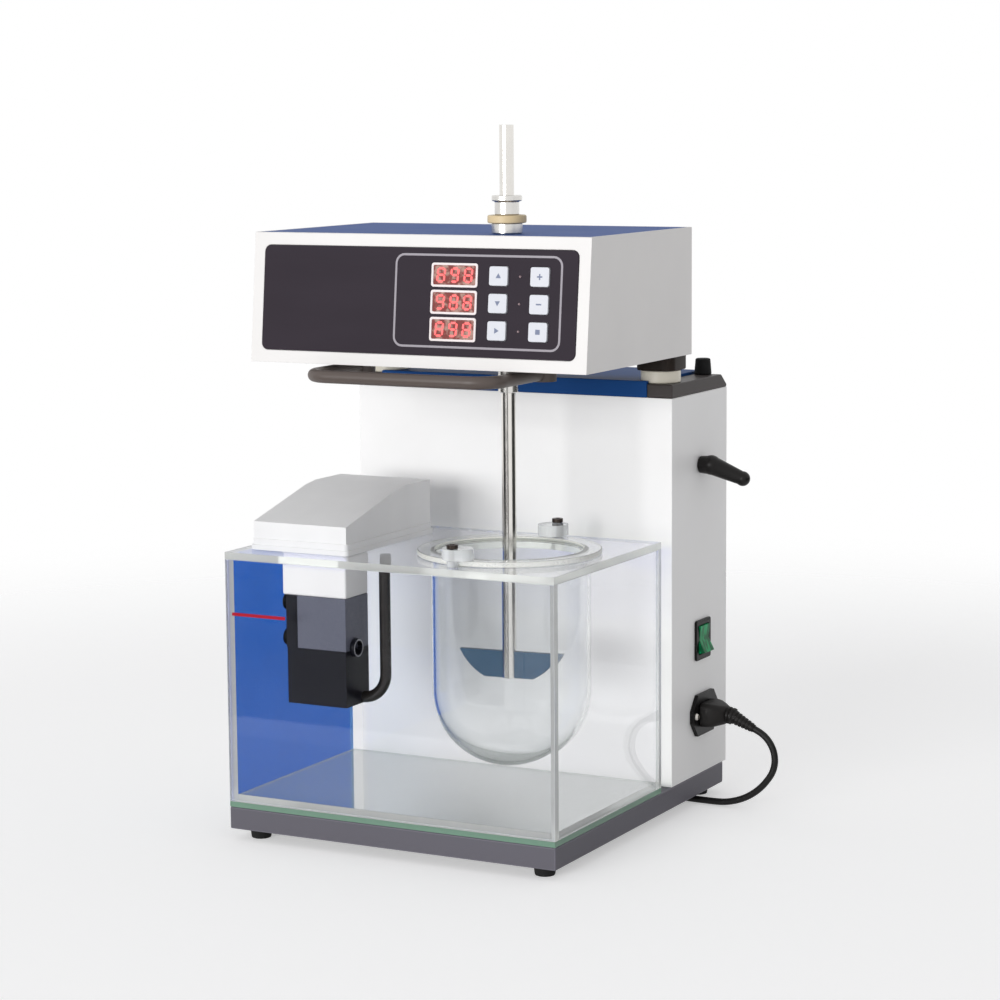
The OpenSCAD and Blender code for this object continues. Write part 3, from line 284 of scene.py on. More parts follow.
# Finishes


def painted(name, colour, rough=0.42, peel=0.03 * MM, shine=0.4):
    """Powder paint: the fine lumps of the coat, faint clouds and a little uneven gloss."""
    finish = Finish(name, Specular_IOR_Level=shine)
    clouds = finish.grain(60 * MM, 3)
    coat = finish.grain(1.1 * MM, 2)
    specks = finish.step(finish.grain(0.5 * MM, 1), 0.66, 0.8)
    plain = finish.mixed(clouds, shaded(colour, 0.95), shaded(colour, 1.06))
    finish.set(Base_Color=finish.mixed(specks * 0.25, plain, shaded(colour, 0.82)))
    finish.set(Roughness=rough - 0.06 + 0.12 * clouds + 0.06 * coat)
    finish.relief(coat, peel, 0.5)
    return finish.material


def moulded(name, colour, rough=0.4, pit=0.02 * MM, shine=0.45):
    """Moulded plastic with a fine spark-eroded grain."""
    finish = Finish(name, Specular_IOR_Level=shine)
    grain = finish.grain(0.45 * MM, 3)
    flow = finish.grain(35 * MM, 2, (1, 1, 0.3))
    finish.shade(flow, colour, 0.93, 1.05)
    finish.set(Roughness=rough - 0.05 + 0.1 * grain + 0.05 * flow)
    finish.relief(grain, pit, 0.4)
    return finish.material


def rubber(name, colour):
    """Matt rubber with a dusty bloom."""
    finish = Finish(name, Specular_IOR_Level=0.3)
    bloom = finish.step(finish.grain(7 * MM, 4), 0.45, 0.75)
    grain = finish.grain(0.35 * MM, 2)
    finish.shade(bloom * 0.5, colour, 1, 1.9)
    finish.set(Roughness=0.68 + 0.18 * grain)
    finish.relief(grain, 0.03 * MM, 0.5)
    return finish.material


def ground_steel(name, colour, rough=0.2, stretch=(1, 1, 0.02)):
    """Bright metal with fine grinding marks along one axis and a few soft smears."""
    finish = Finish(name, Metallic=1.0)
    marks = finish.grain(0.12 * MM, 2, stretch)
    smears = finish.grain(14 * MM, 3)
    finish.shade(smears, colour, 0.9, 1.05)
    finish.set(Roughness=rough - 0.05 + 0.08 * marks + 0.06 * smears)
    finish.relief(marks, 0.004 * MM, 0.5)
    return finish.material


CLEAR_SHADE = (0.995, 0.995, 0.995)
BLUE_SHADE = (0.88, 0.92, 0.97)


def let_light_through(finish, tint):
    """Light falls straight through a clear finish instead of being shut out or bent by it."""
    open_way = finish.node("ShaderNodeBsdfTransparent", inputs={"Color": tint})
    carried = finish.math("MAXIMUM", finish.ray("Is Shadow Ray"), finish.ray("Is Diffuse Ray"))
    finish.join(finish.end.inputs["Surface"], finish.blend(carried, finish.surface, open_way))


def clear(name, tint, bend, deep, density, haze=0.015, through=1.0):
    """Clear sheet or glass: faint smears, and a colour that deepens with thickness."""
    finish = Finish(name, Base_Color=tint, IOR=bend, Transmission_Weight=through, Specular_IOR_Level=0.5)
    smears = finish.step(finish.grain(22 * MM, 4), 0.55, 0.8)
    finish.set(Roughness=haze + 0.05 * smears)
    let_light_through(finish, CLEAR_SHADE)
    inside = finish.node("ShaderNodeVolumeAbsorption", inputs={"Color": deep, "Density": density})
    finish.join(finish.end.inputs["Volume"], inside)
    return finish.material


def cut_edge(name, tint, rough, through=0.55):
    """The sawn and flamed edge of a clear sheet: a partly frosted face, whose pale colour also stands for the
    light the sheet carries to its edge, as painted glow.
    """
    finish = Finish(name, IOR=1.3, Transmission_Weight=through, Specular_IOR_Level=0.5)
    saw = finish.grain(0.5 * MM, 2)
    waves = finish.grain(12 * MM, 2)
    finish.shade(waves, tint, 0.9, 1)
    finish.set(Roughness=rough + 0.15 * saw)
    finish.relief(saw, 0.02 * MM, 0.4)
    let_light_through(finish, tint)
    return finish.material


def tinted_wall(tint):
    """Blue clear sheet with faint clouds in its tint."""
    finish = Finish("blue_acrylic", IOR=1.35, Transmission_Weight=1.0)
    finish.set(Specular_IOR_Level=0.35, Roughness=0.05)
    clouds = finish.grain(45 * MM, 3)
    finish.shade(clouds, tint, 0.92, 1.08)
    let_light_through(finish, BLUE_SHADE)
    return finish.material


def lit(name, colour, glow, strength):
    """A lamp or a display bar behind tinted film."""
    finish = Finish(name, Roughness=0.3, Emission_Strength=strength)
    cells = finish.grain(0.6 * MM, 1)
    finish.shade(cells, colour, 0.85, 1)
    finish.set(Emission_Color=finish.mixed(cells, shaded(glow, 0.85), glow))
    return finish.material


def film(name, colour):
    """Printed panel film with a fine matt grain and faint wiping marks."""
    finish = Finish(name, Specular_IOR_Level=0.04)
    grain = finish.grain(0.25 * MM, 1)
    wiped = finish.grain(18 * MM, 3, (0.25, 1, 1))
    finish.shade(wiped, colour, 0.9, 1.12)
    finish.set(Roughness=0.38 + 0.12 * grain + 0.08 * wiped)
    finish.relief(grain, 0.01 * MM, 0.4)
    return finish.material


# Objects and meshes


def placed(name, data):
    """A new object in the scene."""
    made = bpy.data.objects.new(name, data)
    bpy.context.scene.collection.objects.link(made)
    return made


def add_piece(name, mesh, finish, body):
    """Puts a mesh in the scene as a piece that rides on a body."""
    piece = placed(name, mesh)
    mesh.name = name
    mesh.materials.append(finish)
    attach(piece, body)
    return piece


def made_plain(piece):
    """Gives an object the mesh that its modifiers make, and removes them."""
    graph = bpy.context.evaluated_depsgraph_get()
    mesh = bpy.data.meshes.new_from_object(piece.evaluated_get(graph), depsgraph=graph)
    piece.modifiers.clear()
    piece.data = mesh
    return piece


def welded(node, name):
    """A clean copy of a CAD node's mesh, with its corners joined and its flat faces whole."""
    source = NODES[node].data
    mesh = bpy.data.meshes.new(name)
    mesh.from_pydata([v.co for v in source.vertices], [], [p.vertices[:] for p in source.polygons])
    work = bmesh.new()
    work.from_mesh(mesh)
    bmesh.ops.remove_doubles(work, verts=work.verts, dist=JOIN_DISTANCE)
    bmesh.ops.dissolve_limit(work, angle_limit=FLAT_ANGLE, verts=work.verts, edges=work.edges)
    for face in work.faces:
        face.smooth = True
    work.to_mesh(mesh)
    work.free()
    mesh.set_sharp_from_angle(angle=SHARP_ANGLE)
    return mesh


def finished(node, finish, rounding=0.0, edge=None, steps=2, ease=0.0):
    """Stands for a CAD node with its edges rounded, under a finish and one for those edges.

    A clear piece that lies on another is eased off it, so that their faces don't share one place.
    """
    name = node + "_finished"
    mesh = welded(node, name)
    piece = placed(name, mesh)
    for each in [finish, edge] if edge else [finish]:
        mesh.materials.append(each)
    if rounding:
        bevel = piece.modifiers.new("rounding", "BEVEL")
        bevel.width = rounding
        bevel.segments = steps
        bevel.limit_method = "ANGLE"
        bevel.angle_limit = SHARP_ANGLE
        bevel.harden_normals = True
        bevel.material = 1 if edge else -1
        if ease:
            taken_in = piece.modifiers.new("ease", "DISPLACE")
            taken_in.mid_level = 0
            taken_in.strength = -ease
        made_plain(piece)
    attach(piece, BODY[node])
    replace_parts(piece, node)
    return piece


def coated(node, finish):
    """Leaves a CAD node as it is, under a new finish."""
    for slot in NODES[node].material_slots:
        slot.material = finish


def refinish(piece, index, rule):
    """Puts the faces that a rule picks under one of the piece's other finishes."""
    for face in piece.data.polygons:
        if rule(face):
            face.material_index = index


def shell_mesh(rings, closed=False):
    """A skin over rings of points, all of one count, with its ends filled or joined."""
    work = bmesh.new()
    rows = [[work.verts.new(point) for point in ring] for ring in rings]
    count = len(rows[0])
    pairs = list(zip(rows, rows[1:] + rows[:1])) if closed else list(zip(rows, rows[1:]))
    for low, high in pairs:
        for i in range(count):
            j = (i + 1) % count
            work.faces.new((low[i], low[j], high[j], high[i]))
    if not closed:
        work.faces.new(reversed(rows[0]))
        work.faces.new(rows[-1])
    bmesh.ops.recalc_face_normals(work, faces=work.faces)
    for face in work.faces:
        face.smooth = True
    mesh = bpy.data.meshes.new("shell")
    work.to_mesh(mesh)
    work.free()
    mesh.set_sharp_from_angle(angle=SHARP_ANGLE)
    return mesh


def round_ring(width, height, radius, steps=6):
    """Flat points round a rectangle with round corners, counter-clockwise."""
    radius = min(radius, width / 2, height / 2)
    points = []
    for quarter, (side, rise) in enumerate([(1, 1), (-1, 1), (-1, -1), (1, -1)]):
        for i in range(steps + 1):
            turn = math.pi / 2 * (quarter + i / steps)
            points.append((
                side * (width / 2 - radius) + radius * math.cos(turn),
                rise * (height / 2 - radius) + radius * math.sin(turn),
            ))
    return points


def turned_place(middle, turn, axis):
    """A frame at a place, turned about one of the axes."""
    return Matrix.Translation(middle) @ Matrix.Rotation(turn, 4, axis)


def raised(ring, level, place):
    """The points of a flat ring at a height in a frame."""
    return [place @ Vector((u, v, level)) for u, v in ring]


def frame_mesh(outer, inner, low, high, place):
    """A flat frame between two outlines of one count, from one height to another."""
    loops = [(outer, low), (outer, high), (inner, high), (inner, low)]
    return shell_mesh([raised(ring, level, place) for ring, level in loops], closed=True)


def plate_mesh(outline, low, high, place, soft=0.0):
    """A plate under a flat outline, with the rim of its top taken in by a soft edge."""
    middle = Vector((sum(u for u, v in outline), sum(v for u, v in outline))) / len(outline)
    wide = max(abs(u - middle.x) for u, v in outline)
    tall = max(abs(v - middle.y) for u, v in outline)

    def inset(away):
        return [(
            middle.x + (u - middle.x) * (1 - away / wide), middle.y + (v - middle.y) * (1 - away / tall)
        ) for u, v in outline]

    levels = [(outline, low), (outline, high - soft)]
    if soft:
        levels += [(inset(soft * 0.3), high - soft * 0.3), (inset(soft), high)]
    return shell_mesh([raised(ring, level, place) for ring, level in levels])


# Repeated fittings, by Geometry Nodes


def named_input(tree, name):
    """The identifier under which a modifier holds one of a tree's inputs."""
    return next(
        item.identifier for item in tree.interface.items_tree
        if item.item_type == "SOCKET" and item.in_out == "INPUT" and item.name == name
    )


def new_tree(name, sizes):
    """A Geometry Nodes tree with points and sizes going in, and its start node."""
    tree = bpy.data.node_groups.new(name, "GeometryNodeTree")
    tree.interface.new_socket("Points", in_out="INPUT", socket_type="NodeSocketGeometry")
    for size in sizes:
        tree.interface.new_socket(size, in_out="INPUT", socket_type="NodeSocketFloat")
    tree.interface.new_socket("Finish", in_out="INPUT", socket_type="NodeSocketMaterial")
    tree.interface.new_socket("Mesh", in_out="OUTPUT", socket_type="NodeSocketGeometry")
    graph = Graph(tree)
    start = tree.nodes.new("NodeGroupInput")
    return graph, {name: Wire(graph, start.outputs[name]) for name in ["Points", *sizes, "Finish"]}


def end_tree(graph, given, shape):
    """Sets a shape on every point, turned to the point's aim and side, as one plain mesh."""
    vector = {"data_type": "FLOAT_VECTOR"}
    aim = graph.node("GeometryNodeInputNamedAttribute", vector, {"Name": "aim"})
    side = graph.node("GeometryNodeInputNamedAttribute", vector, {"Name": "side"})
    axes = {"primary_axis": "Z", "secondary_axis": "X"}
    turn = graph.node("FunctionNodeAxesToRotation", axes, {0: aim, 1: side})
    inputs = {"Points": given["Points"], "Instance": shape, "Rotation": turn}
    set_out = graph.node("GeometryNodeInstanceOnPoints", inputs=inputs)
    real = graph.node("GeometryNodeRealizeInstances", inputs={"Geometry": set_out})
    done = graph.node("GeometryNodeSetMaterial", inputs={"Geometry": real, "Material": given["Finish"]})
    graph.node("NodeGroupOutput", inputs={"Mesh": done})
    return graph.tree


def sized_box(graph, x, y, z):
    """A box in a tree, from the wires or numbers of its sides."""
    size = graph.node("ShaderNodeCombineXYZ", inputs={"X": x, "Y": y, "Z": z})
    return graph.node("GeometryNodeMeshCube", inputs={"Size": size})


def screw_tree():
    """Pan-head screws with a cross recess."""
    graph, given = new_tree("screw_heads", ["Head", "Rise"])
    inputs = {"Vertices": 24, "Radius Bottom": given["Head"] * 0.5, "Radius Top": given["Head"] * 0.36}
    head = graph.node("GeometryNodeMeshCone", inputs={**inputs, "Depth": given["Rise"]})
    wide = given["Head"] * 0.56
    slim = given["Head"] * 0.13
    cross = [sized_box(graph, wide, slim, given["Rise"]), sized_box(graph, slim, wide, given["Rise"])]
    lifted = graph.node("ShaderNodeCombineXYZ", inputs={"Z": given["Rise"] * 1.1})
    tools = []
    for bar in cross:
        tools.append(graph.node("GeometryNodeTransform", inputs={"Geometry": bar, "Translation": lifted}))
    inputs = {"Mesh 1": head, "Mesh 2": tools}
    return end_tree(graph, given, graph.node("GeometryNodeMeshBoolean", {"operation": "DIFFERENCE"}, inputs))


def segment_tree():
    """Bars of a digit, pointed at both ends."""
    graph, given = new_tree("digit_bars", ["Length", "Width", "Depth"])
    square = sized_box(graph, given["Length"] - given["Width"], given["Width"], given["Depth"])
    spine = sized_box(graph, given["Length"], given["Width"] * 0.02, given["Depth"])
    both = graph.node("GeometryNodeJoinGeometry", inputs={"Geometry": [square, spine]})
    return end_tree(graph, given, graph.node("GeometryNodeConvexHull", inputs={"Geometry": both}))


def dome_tree():
    """Small round domes."""
    graph, given = new_tree("domes", ["Radius"])
    inputs = {"Segments": 16, "Rings": 10, "Radius": given["Radius"]}
    return end_tree(graph, given, graph.node("GeometryNodeMeshUVSphere", inputs=inputs))


def set_out(name, tree, points, sizes, finish, body, slot):
    """Sets a tree's shape on points, each with its place, its aim and its side."""
    mesh = bpy.data.meshes.new(name)
    mesh.from_pydata([place for place, aim, side in points], [], [])
    for row, label in ((1, "aim"), (2, "side")):
        layer = mesh.attributes.new(label, "FLOAT_VECTOR", "POINT")
        layer.data.foreach_set("vector", [part for point in points for part in point[row]])
    piece = placed(name, mesh)
    nodes = piece.modifiers.new(name, "NODES")
    nodes.node_group = tree
    for label, size in sizes.items():
        nodes[named_input(tree, label)] = size
    nodes[named_input(tree, "Finish")] = finish
    made_plain(piece)
    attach(piece, body)
    return piece


# Mains lead

# Centre line from the connector to the coil, in millimetres, as the part's source has it
LEAD_ROUTE = [
    (154.88, 100.0, 61.05), (161.88, 100.0, 57.45), (167.48, 100.0, 52.05), (170.98, 100.0, 45.05),
    (171.88, 100.0, 37.25), (170.08, 100.0, 29.65), (165.98, 100.0, 23.00), (160.88, 100.0, 17.10),
    (154.78, 100.0, 12.00), (148.08, 100.0, 8.00), (140.78, 100.0, 5.10), (133.18, 100.0, 3.30),
    (125.38, 100.0, 2.70), (109.18, 100.0, 2.70), (92.88, 101.5, 2.70), (79.68, 105.8, 2.70),
    (66.88, 112.8, 2.70), (55.78, 121.8, 2.70), (44.78, 131.7, 2.70), (33.78, 141.1, 2.70),
    (21.28, 149.2, 2.70), (7.78, 154.7, 2.70), (-6.22, 157.0, 2.70), (-20.22, 157.0, 2.70),
    (-31.25, 157.0, 2.70),
]
ROUTE_STEPS = 6
CONNECTOR_HEIGHT = 18 * MM
# Where the connector's strain relief starts and ends to turn down, in millimetres, and how far it turns
RELIEF_BEND = (16, 24, math.radians(25))
COIL_CENTRE = Vector((-36.25, 195.7, 2.7)) * MM
COIL_STEPS = 40
LIFT_TURNS = 0.25
# Where the plug's pins start past the cord's end, how far they stand from its middle, and their size
PIN_START, PIN_APART = 53.5 * MM, 9.5 * MM
PIN_RADIUS, PIN_LENGTH, PIN_SIDES = 2.4 * MM, 18.5 * MM, 20


def smooth_route(points, steps):
    """Points of a smooth curve through all the given ones."""
    smooth = []
    last = len(points) - 1
    for i in range(last):
        a, b, c, d = (points[min(max(j, 0), last)] for j in (i - 1, i, i + 1, i + 2))
        for j in range(steps):
            t = j / steps
            square = (2 * a - 5 * b + 4 * c - d) * t * t
            cube = (3 * b - a - 3 * c + d) * t * t * t
            smooth.append(0.5 * (2 * b + (c - a) * t + square + cube))
    return [*smooth, points[last]]


def coil_route(lead):
    """Points of the put-away coil: in on the floor, up in the middle and out on the top."""
    step = lead.diameter + lead.gap
    count = math.ceil(lead.turns * COIL_STEPS)
    points = []
    for i in range(count + 1):
        turn = lead.turns * (i / count - 0.5)
        rise = min(max((turn + LIFT_TURNS) / (2 * LIFT_TURNS), 0.0), 1.0)
        lift = 0.5 - 0.5 * math.cos(math.pi * rise)
        radius = lead.least_radius + step * abs(turn)
        around = math.radians(-90) - 2 * math.pi * (turn + lead.turns / 2)
        place = Vector((radius * math.cos(around), radius * math.sin(around), step * lift))
        points.append(COIL_CENTRE + place)
    return [*points, points[-1] + Vector((lead.tail, 0, 0))]


def tube_mesh(points, radius, sides):
    """A round tube along points, turned evenly so that it doesn't twist."""
    rings = []
    out = UP
    last = len(points) - 1
    for i, point in enumerate(points):
        aim = (points[min(i + 1, last)] - points[max(i - 1, 0)]).normalized()
        out = (out - aim * out.dot(aim)).normalized()
        across = aim.cross(out)
        turns = [2 * math.pi * k / sides for k in range(sides)]
        rings.append([point + radius * (math.cos(t) * out + math.sin(t) * across) for t in turns])
    return shell_mesh(rings)


def turned_along_x(start, sections, bend=(0, 1, 0)):
    """A moulding along X from sections: how far along, width in Y, height in Z and corner radius.

    Between the two places of the bend, it turns down by the bend's angle.
    """
    begin, end, drop = bend
    rings = []
    middle, reached = start.copy(), 0
    for along, width, height, radius in sections:
        share = min(max(((along + reached) / 2 - begin) / (end - begin), 0), 1)
        middle += (along - reached) * MM * Vector((math.cos(drop * share), 0, -math.sin(drop * share)))
        reached = along
        share = min(max((along - begin) / (end - begin), 0), 1)
        up = Vector((math.sin(drop * share), 0, math.cos(drop * share)))
        ring = round_ring(width * MM, height * MM, radius * MM)
        rings.append([middle + Vector((0, u, 0)) + v * up for u, v in ring])
    return shell_mesh(rings)


def relief_sections(start, end, thick, thin, grooves):
    """Round sections of a tapered strain relief with grooves round it."""
    depth = 0.7
    pitch = (end - start) / grooves
    sections = []
    for i in range(grooves):
        for share, deep in ((0.0, 0), (0.5, 0), (0.58, depth), (0.9, depth)):
            along = start + pitch * (i + share)
            wide = thick + (thin - thick) * (along - start) / (end - start)
            wide -= 2 * deep * (1 - 0.5 * i / grooves)
            sections.append((along, wide, wide, wide / 2))
    return [*sections, (end, thin, thin, thin / 2)]


def connector_sections():
    """The lead's connector from the inlet outwards: body, shoulder, two rings and strain relief."""
    sections = [
        (0, 24.6, 16.6, 3.4), (0.7, 26, 18, 4), (6, 26, 18, 4), (9, 24.8, 17.2, 4.4), (13, 21, 15.2, 5.4),
        (16, 16.4, 13.8, 6.2), (17, 14.4, 13.2, 6.4),
    ]
    for along in (17.6, 20.4):
        sections += [(along, 11.4, 11.4, 5.7), (along + 0.3, 12.8, 12.8, 6.4)]
        sections += [(along + 1.7, 12.8, 12.8, 6.4), (along + 2, 11.2, 11.2, 5.6)]
    return sections + relief_sections(23, 40, 10.6, 6.5, 6)


def plug_sections(tall):
    """The plug from its cord to its face: strain relief, waisted grip and flat face."""
    grip = [
        (20, 12, 11, 5.4), (22, 20, 14, 6), (25, 26, tall, 7), (33, 24.5, tall - 1.4, 7),
        (41, 25, tall - 1, 7), (46, 28, tall, 6), (53, 28, tall, 6), (54, 26.6, tall - 1.4, 5.4),
    ]
    reversed_relief = [(20 - along, *size) for along, *size in reversed(relief_sections(0, 20, 11, 6.5, 6))]
    return reversed_relief[:-1] + grip


def pin_mesh(start):
    """A round plug pin with a soft tip, along X."""
    soft = 0.35
    shape = [
        (0, 1), (PIN_LENGTH - PIN_RADIUS, 1), (PIN_LENGTH - PIN_RADIUS * soft, 0.86), (PIN_LENGTH, soft),
    ]
    turns = [2 * math.pi * i / PIN_SIDES for i in range(PIN_SIDES)]
    rings = []
    for along, share in shape:
        ring = [(PIN_RADIUS * share * math.cos(t), PIN_RADIUS * share * math.sin(t)) for t in turns]
        rings.append([start + Vector((along, u, v)) for u, v in ring])
    return shell_mesh(rings)


class TESTER_OT_lead(bpy.types.Operator):
    """Make the mains lead with its connector, coil, tie and plug"""

    bl_idname = "tester.lead"
    bl_label = "Mains lead"

    def execute(self, context):
        lead = context.scene.tester_lead
        sheath = moulded("cord_sheath", tone(17, 16, 16), rough=0.45, pit=0.008 * MM, shine=0.25)
        black = moulded("connector_black", tone(17, 14, 13), rough=0.5, pit=0.03 * MM, shine=0.25)
        steel = ground_steel("pin_steel", tone(205, 202, 196), rough=0.25, stretch=(0.02, 1, 1))
        tie_white = moulded("tie_nylon", tone(214, 212, 204), rough=0.4)

        run = smooth_route([Vector(point) * MM for point in LEAD_ROUTE], ROUTE_STEPS)
        coil = coil_route(lead)
        path = [*run[:-1], *coil]
        mesh = tube_mesh(path, lead.diameter / 2, lead.sides)
        cord = add_piece("mains_lead", mesh, sheath, "stand")
        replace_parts(cord, "mains_cord", "cord_coil")

        low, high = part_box("cord_connector")
        start = Vector((low.x, (low.y + high.y) / 2, high.z - CONNECTOR_HEIGHT / 2))
        mesh = turned_along_x(start, connector_sections(), bend=RELIEF_BEND)
        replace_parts(add_piece("lead_connector", mesh, black, "stand"), "cord_connector")

        end = path[-1]
        low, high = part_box("mains_plug")
        tall = (high.z - low.z) / MM
        mesh = turned_along_x(end, plug_sections(tall))
        plug = add_piece("lead_plug", mesh, black, "stand")
        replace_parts(plug, "mains_plug")
        for side, label in ((-1, "left"), (1, "right")):
            mesh = pin_mesh(end + Vector((PIN_START, side * PIN_APART, 0)))
            add_piece("plug_pin_" + label, mesh, steel, "stand")

        tie = self.tie(lead, tie_white)
        total = sum((b - a).length for a, b in zip(path, path[1:]))
        return {"FINISHED"}

    def tie(self, lead, finish):
        """A thin nylon tie round the turns of the coil, with its head on top."""
        wide, thin, corner = 3.6 * MM, 0.18 * MM, 2 * MM
        head_wide, head_deep, head_tall = 6.5 * MM, 5.5 * MM, 3.5 * MM
        steps_out = 3
        step = lead.diameter + lead.gap
        inner = lead.least_radius - lead.diameter / 2
        outer = lead.least_radius + steps_out * step + lead.diameter / 2
        tall = lead.diameter + step
        middle = COIL_CENTRE + Vector((-(inner + outer) / 2, 0, step / 2))
        place = turned_place(middle, math.radians(90), "X")
        inside = round_ring(outer - inner, tall, corner)
        outside = round_ring(outer - inner + 2 * thin, tall + 2 * thin, corner + thin)
        top = Matrix.Translation(middle + UP * (tall / 2 + thin))
        meshes = {
            "tie_band": frame_mesh(inside, outside, -wide / 2, wide / 2, place),
            "tie_head": plate_mesh(round_ring(head_wide, head_deep, 1 * MM), 0, head_tall, top, 0.6 * MM),
        }
        return [add_piece(name, mesh, finish, "stand") for name, mesh in meshes.items()]


# Stage

SENSOR_WIDTH = 36
FLOOR_COLOUR = (0.86, 0.86, 0.86)
FLOOR_LIFT = 0.42
FLOOR_SIDES = 96
# Shares of the floor's radius between which it fades
FADE_START, FADE_END = 0.35, 0.95
SKY_COLOUR = (0.985, 0.985, 1.0)
# Ends of the dark flags on the floor, and their height and colour
FLAGS = {"left_flag": ((-1.2, -0.49), (0.2, -0.49)), "right_flag": ((0.87, -0.23), (0.58, 0.69))}
FLAG_HEIGHT = 0.33
FLAG_COLOUR = (0.03, 0.03, 0.03)
LIGHT_PLACE, LIGHT_TARGET = Vector((-1.0, -6.0, 1.0)), Vector((0, 0, 0.24))
LIGHT_SIZE = (3.3, 2.0)


class TESTER_OT_stage(bpy.types.Operator):
    """Set up the camera, the floor, the backdrop, the dark flags and the lamp"""

    bl_idname = "tester.stage"
    bl_label = "Stage"

    def execute(self, context):
        stage = context.scene.tester_stage
        self.camera(context.scene, stage)
        self.floor(stage)
        self.sky(context.scene, stage)
        for name, (start, end) in FLAGS.items():
            self.flag(name, start, end)
        self.lamp(stage.key_light)
        context.scene.view_settings.view_transform = "Standard"
        return {"FINISHED"}

    def camera(self, scene, stage):
        """The camera at the photograph's place and angle."""
        turn, rise, roll = stage.camera_turn, stage.camera_rise, stage.camera_roll
        level = math.cos(rise)
        back = Vector((math.sin(turn) * level, -math.cos(turn) * level, math.sin(rise)))
        right = (-back).cross(UP).normalized()
        up = back.cross(right)
        right, up = (
            math.cos(roll) * right + math.sin(roll) * up,
            math.cos(roll) * up - math.sin(roll) * right,
        )
        view = bpy.data.cameras.new("camera")
        view.lens = stage.camera_lens
        view.sensor_width = SENSOR_WIDTH
        view.clip_start = 0.01
        camera = placed("camera", view)
        camera.matrix_world = Matrix((right, up, back)).transposed().to_4x4()
        camera.location = stage.camera_place
        scene.camera = camera

    def seen_share(self, graph):
        """1 for rays that show the backdrop, 0 for those that only carry light to a dull surface."""
        seen = 0.0
        for kind in ("Camera", "Glossy", "Transmission"):
            seen = graph.math("MAXIMUM", seen, graph.ray(f"Is {kind} Ray"))
        return seen * graph.math("LESS_THAN", graph.ray("Diffuse Depth"), 0.5)

    def floor(self, stage):
        """A pale round floor that keeps the shadow and fades into the white backdrop."""
        finish = Finish("floor", Base_Color=FLOOR_COLOUR, Roughness=0.9, Specular_IOR_Level=0.1)
        lift = finish.node("ShaderNodeEmission", inputs={"Color": (1, 1, 1), "Strength": FLOOR_LIFT})
        dark = finish.node("ShaderNodeEmission", inputs={"Color": (0, 0, 0), "Strength": 0.0})
        glow = finish.blend(self.seen_share(finish), dark, lift)
        lifted = finish.node("ShaderNodeAddShader", inputs={0: finish.surface, 1: glow})
        measure = {"operation": "LENGTH"}
        away = finish.node("ShaderNodeVectorMath", measure, {0: finish.place()}, output="Value")
        fade = finish.step(away, stage.floor_radius * FADE_START, stage.floor_radius * FADE_END)
        open_way = finish.node("ShaderNodeBsdfTransparent")
        finish.join(finish.end.inputs["Surface"], finish.blend(fade, lifted, open_way))
        work = bmesh.new()
        bmesh.ops.create_circle(work, cap_ends=True, segments=FLOOR_SIDES, radius=stage.floor_radius)
        mesh = bpy.data.meshes.new("floor")
        work.to_mesh(mesh)
        work.free()
        mesh.materials.append(finish.material)
        floor = placed("floor", mesh)

    def sky(self, scene, stage):
        """A pale sky: white where it is seen, and softer as light, most of all overhead."""
        world = bpy.data.worlds.new("studio")
        world.use_nodes = True
        scene.world = world
        world.node_tree.nodes.clear()
        graph = Graph(world.node_tree)
        way = graph.node("ShaderNodeTexCoord", output="Generated")
        rise = graph.node("ShaderNodeSeparateXYZ", inputs={"Vector": way}, output="Z")
        span = {"From Min": 0.0, "From Max": 1.0, "To Min": stage.low_sky, "To Max": stage.high_sky}
        level = graph.node("ShaderNodeMapRange", inputs={"Value": rise, **span})
        soft = graph.node("ShaderNodeBackground", inputs={"Color": SKY_COLOUR, "Strength": level})
        white = graph.node("ShaderNodeBackground", inputs={"Color": (1, 1, 1), "Strength": 1.0})
        mixed = graph.blend(self.seen_share(graph), soft, white)
        graph.node("ShaderNodeOutputWorld", inputs={"Surface": mixed})

    def flag(self, name, start, end):
        """A dark upright screen that shows only in what shines, as a photographer's flag does."""
        finish = Finish("flag_" + name, Base_Color=FLAG_COLOUR, Roughness=0.9, Specular_IOR_Level=0.0)
        mesh = bpy.data.meshes.new(name)
        corners = [(*start, 0), (*end, 0), (*end, FLAG_HEIGHT), (*start, FLAG_HEIGHT)]
        mesh.from_pydata(corners, [], [(0, 1, 2, 3)])
        mesh.materials.append(finish.material)
        flag = placed(name, mesh)
        flag.visible_camera = flag.visible_diffuse = flag.visible_shadow = flag.visible_volume_scatter = False

    def lamp(self, power):
        """A large soft lamp that looks at the tester from the front."""
        light = bpy.data.lights.new("key_lamp", "AREA")
        light.shape = "RECTANGLE"
        light.size, light.size_y = LIGHT_SIZE
        light.energy = power
        lamp = placed("key_lamp", light)
        lamp.location = LIGHT_PLACE
        lamp.rotation_mode = "QUATERNION"
        lamp.rotation_quaternion = (LIGHT_TARGET - LIGHT_PLACE).to_track_quat("-Z", "Y")


# Base and bath

# Faces of a sheet smaller than this, in square metres, are its cut edges
THIN_FACE = 0.0016
# Air between clear pieces that lie on each other
AIR = 0.06 * MM


def cut_sheet(node, finish, rounding, edge):
    """Stands for a clear sheet, with its cut edges under a finish of their own."""
    piece = finished(node, finish, rounding, edge, ease=AIR)
    refinish(piece, 1, lambda face: face.area < THIN_FACE)


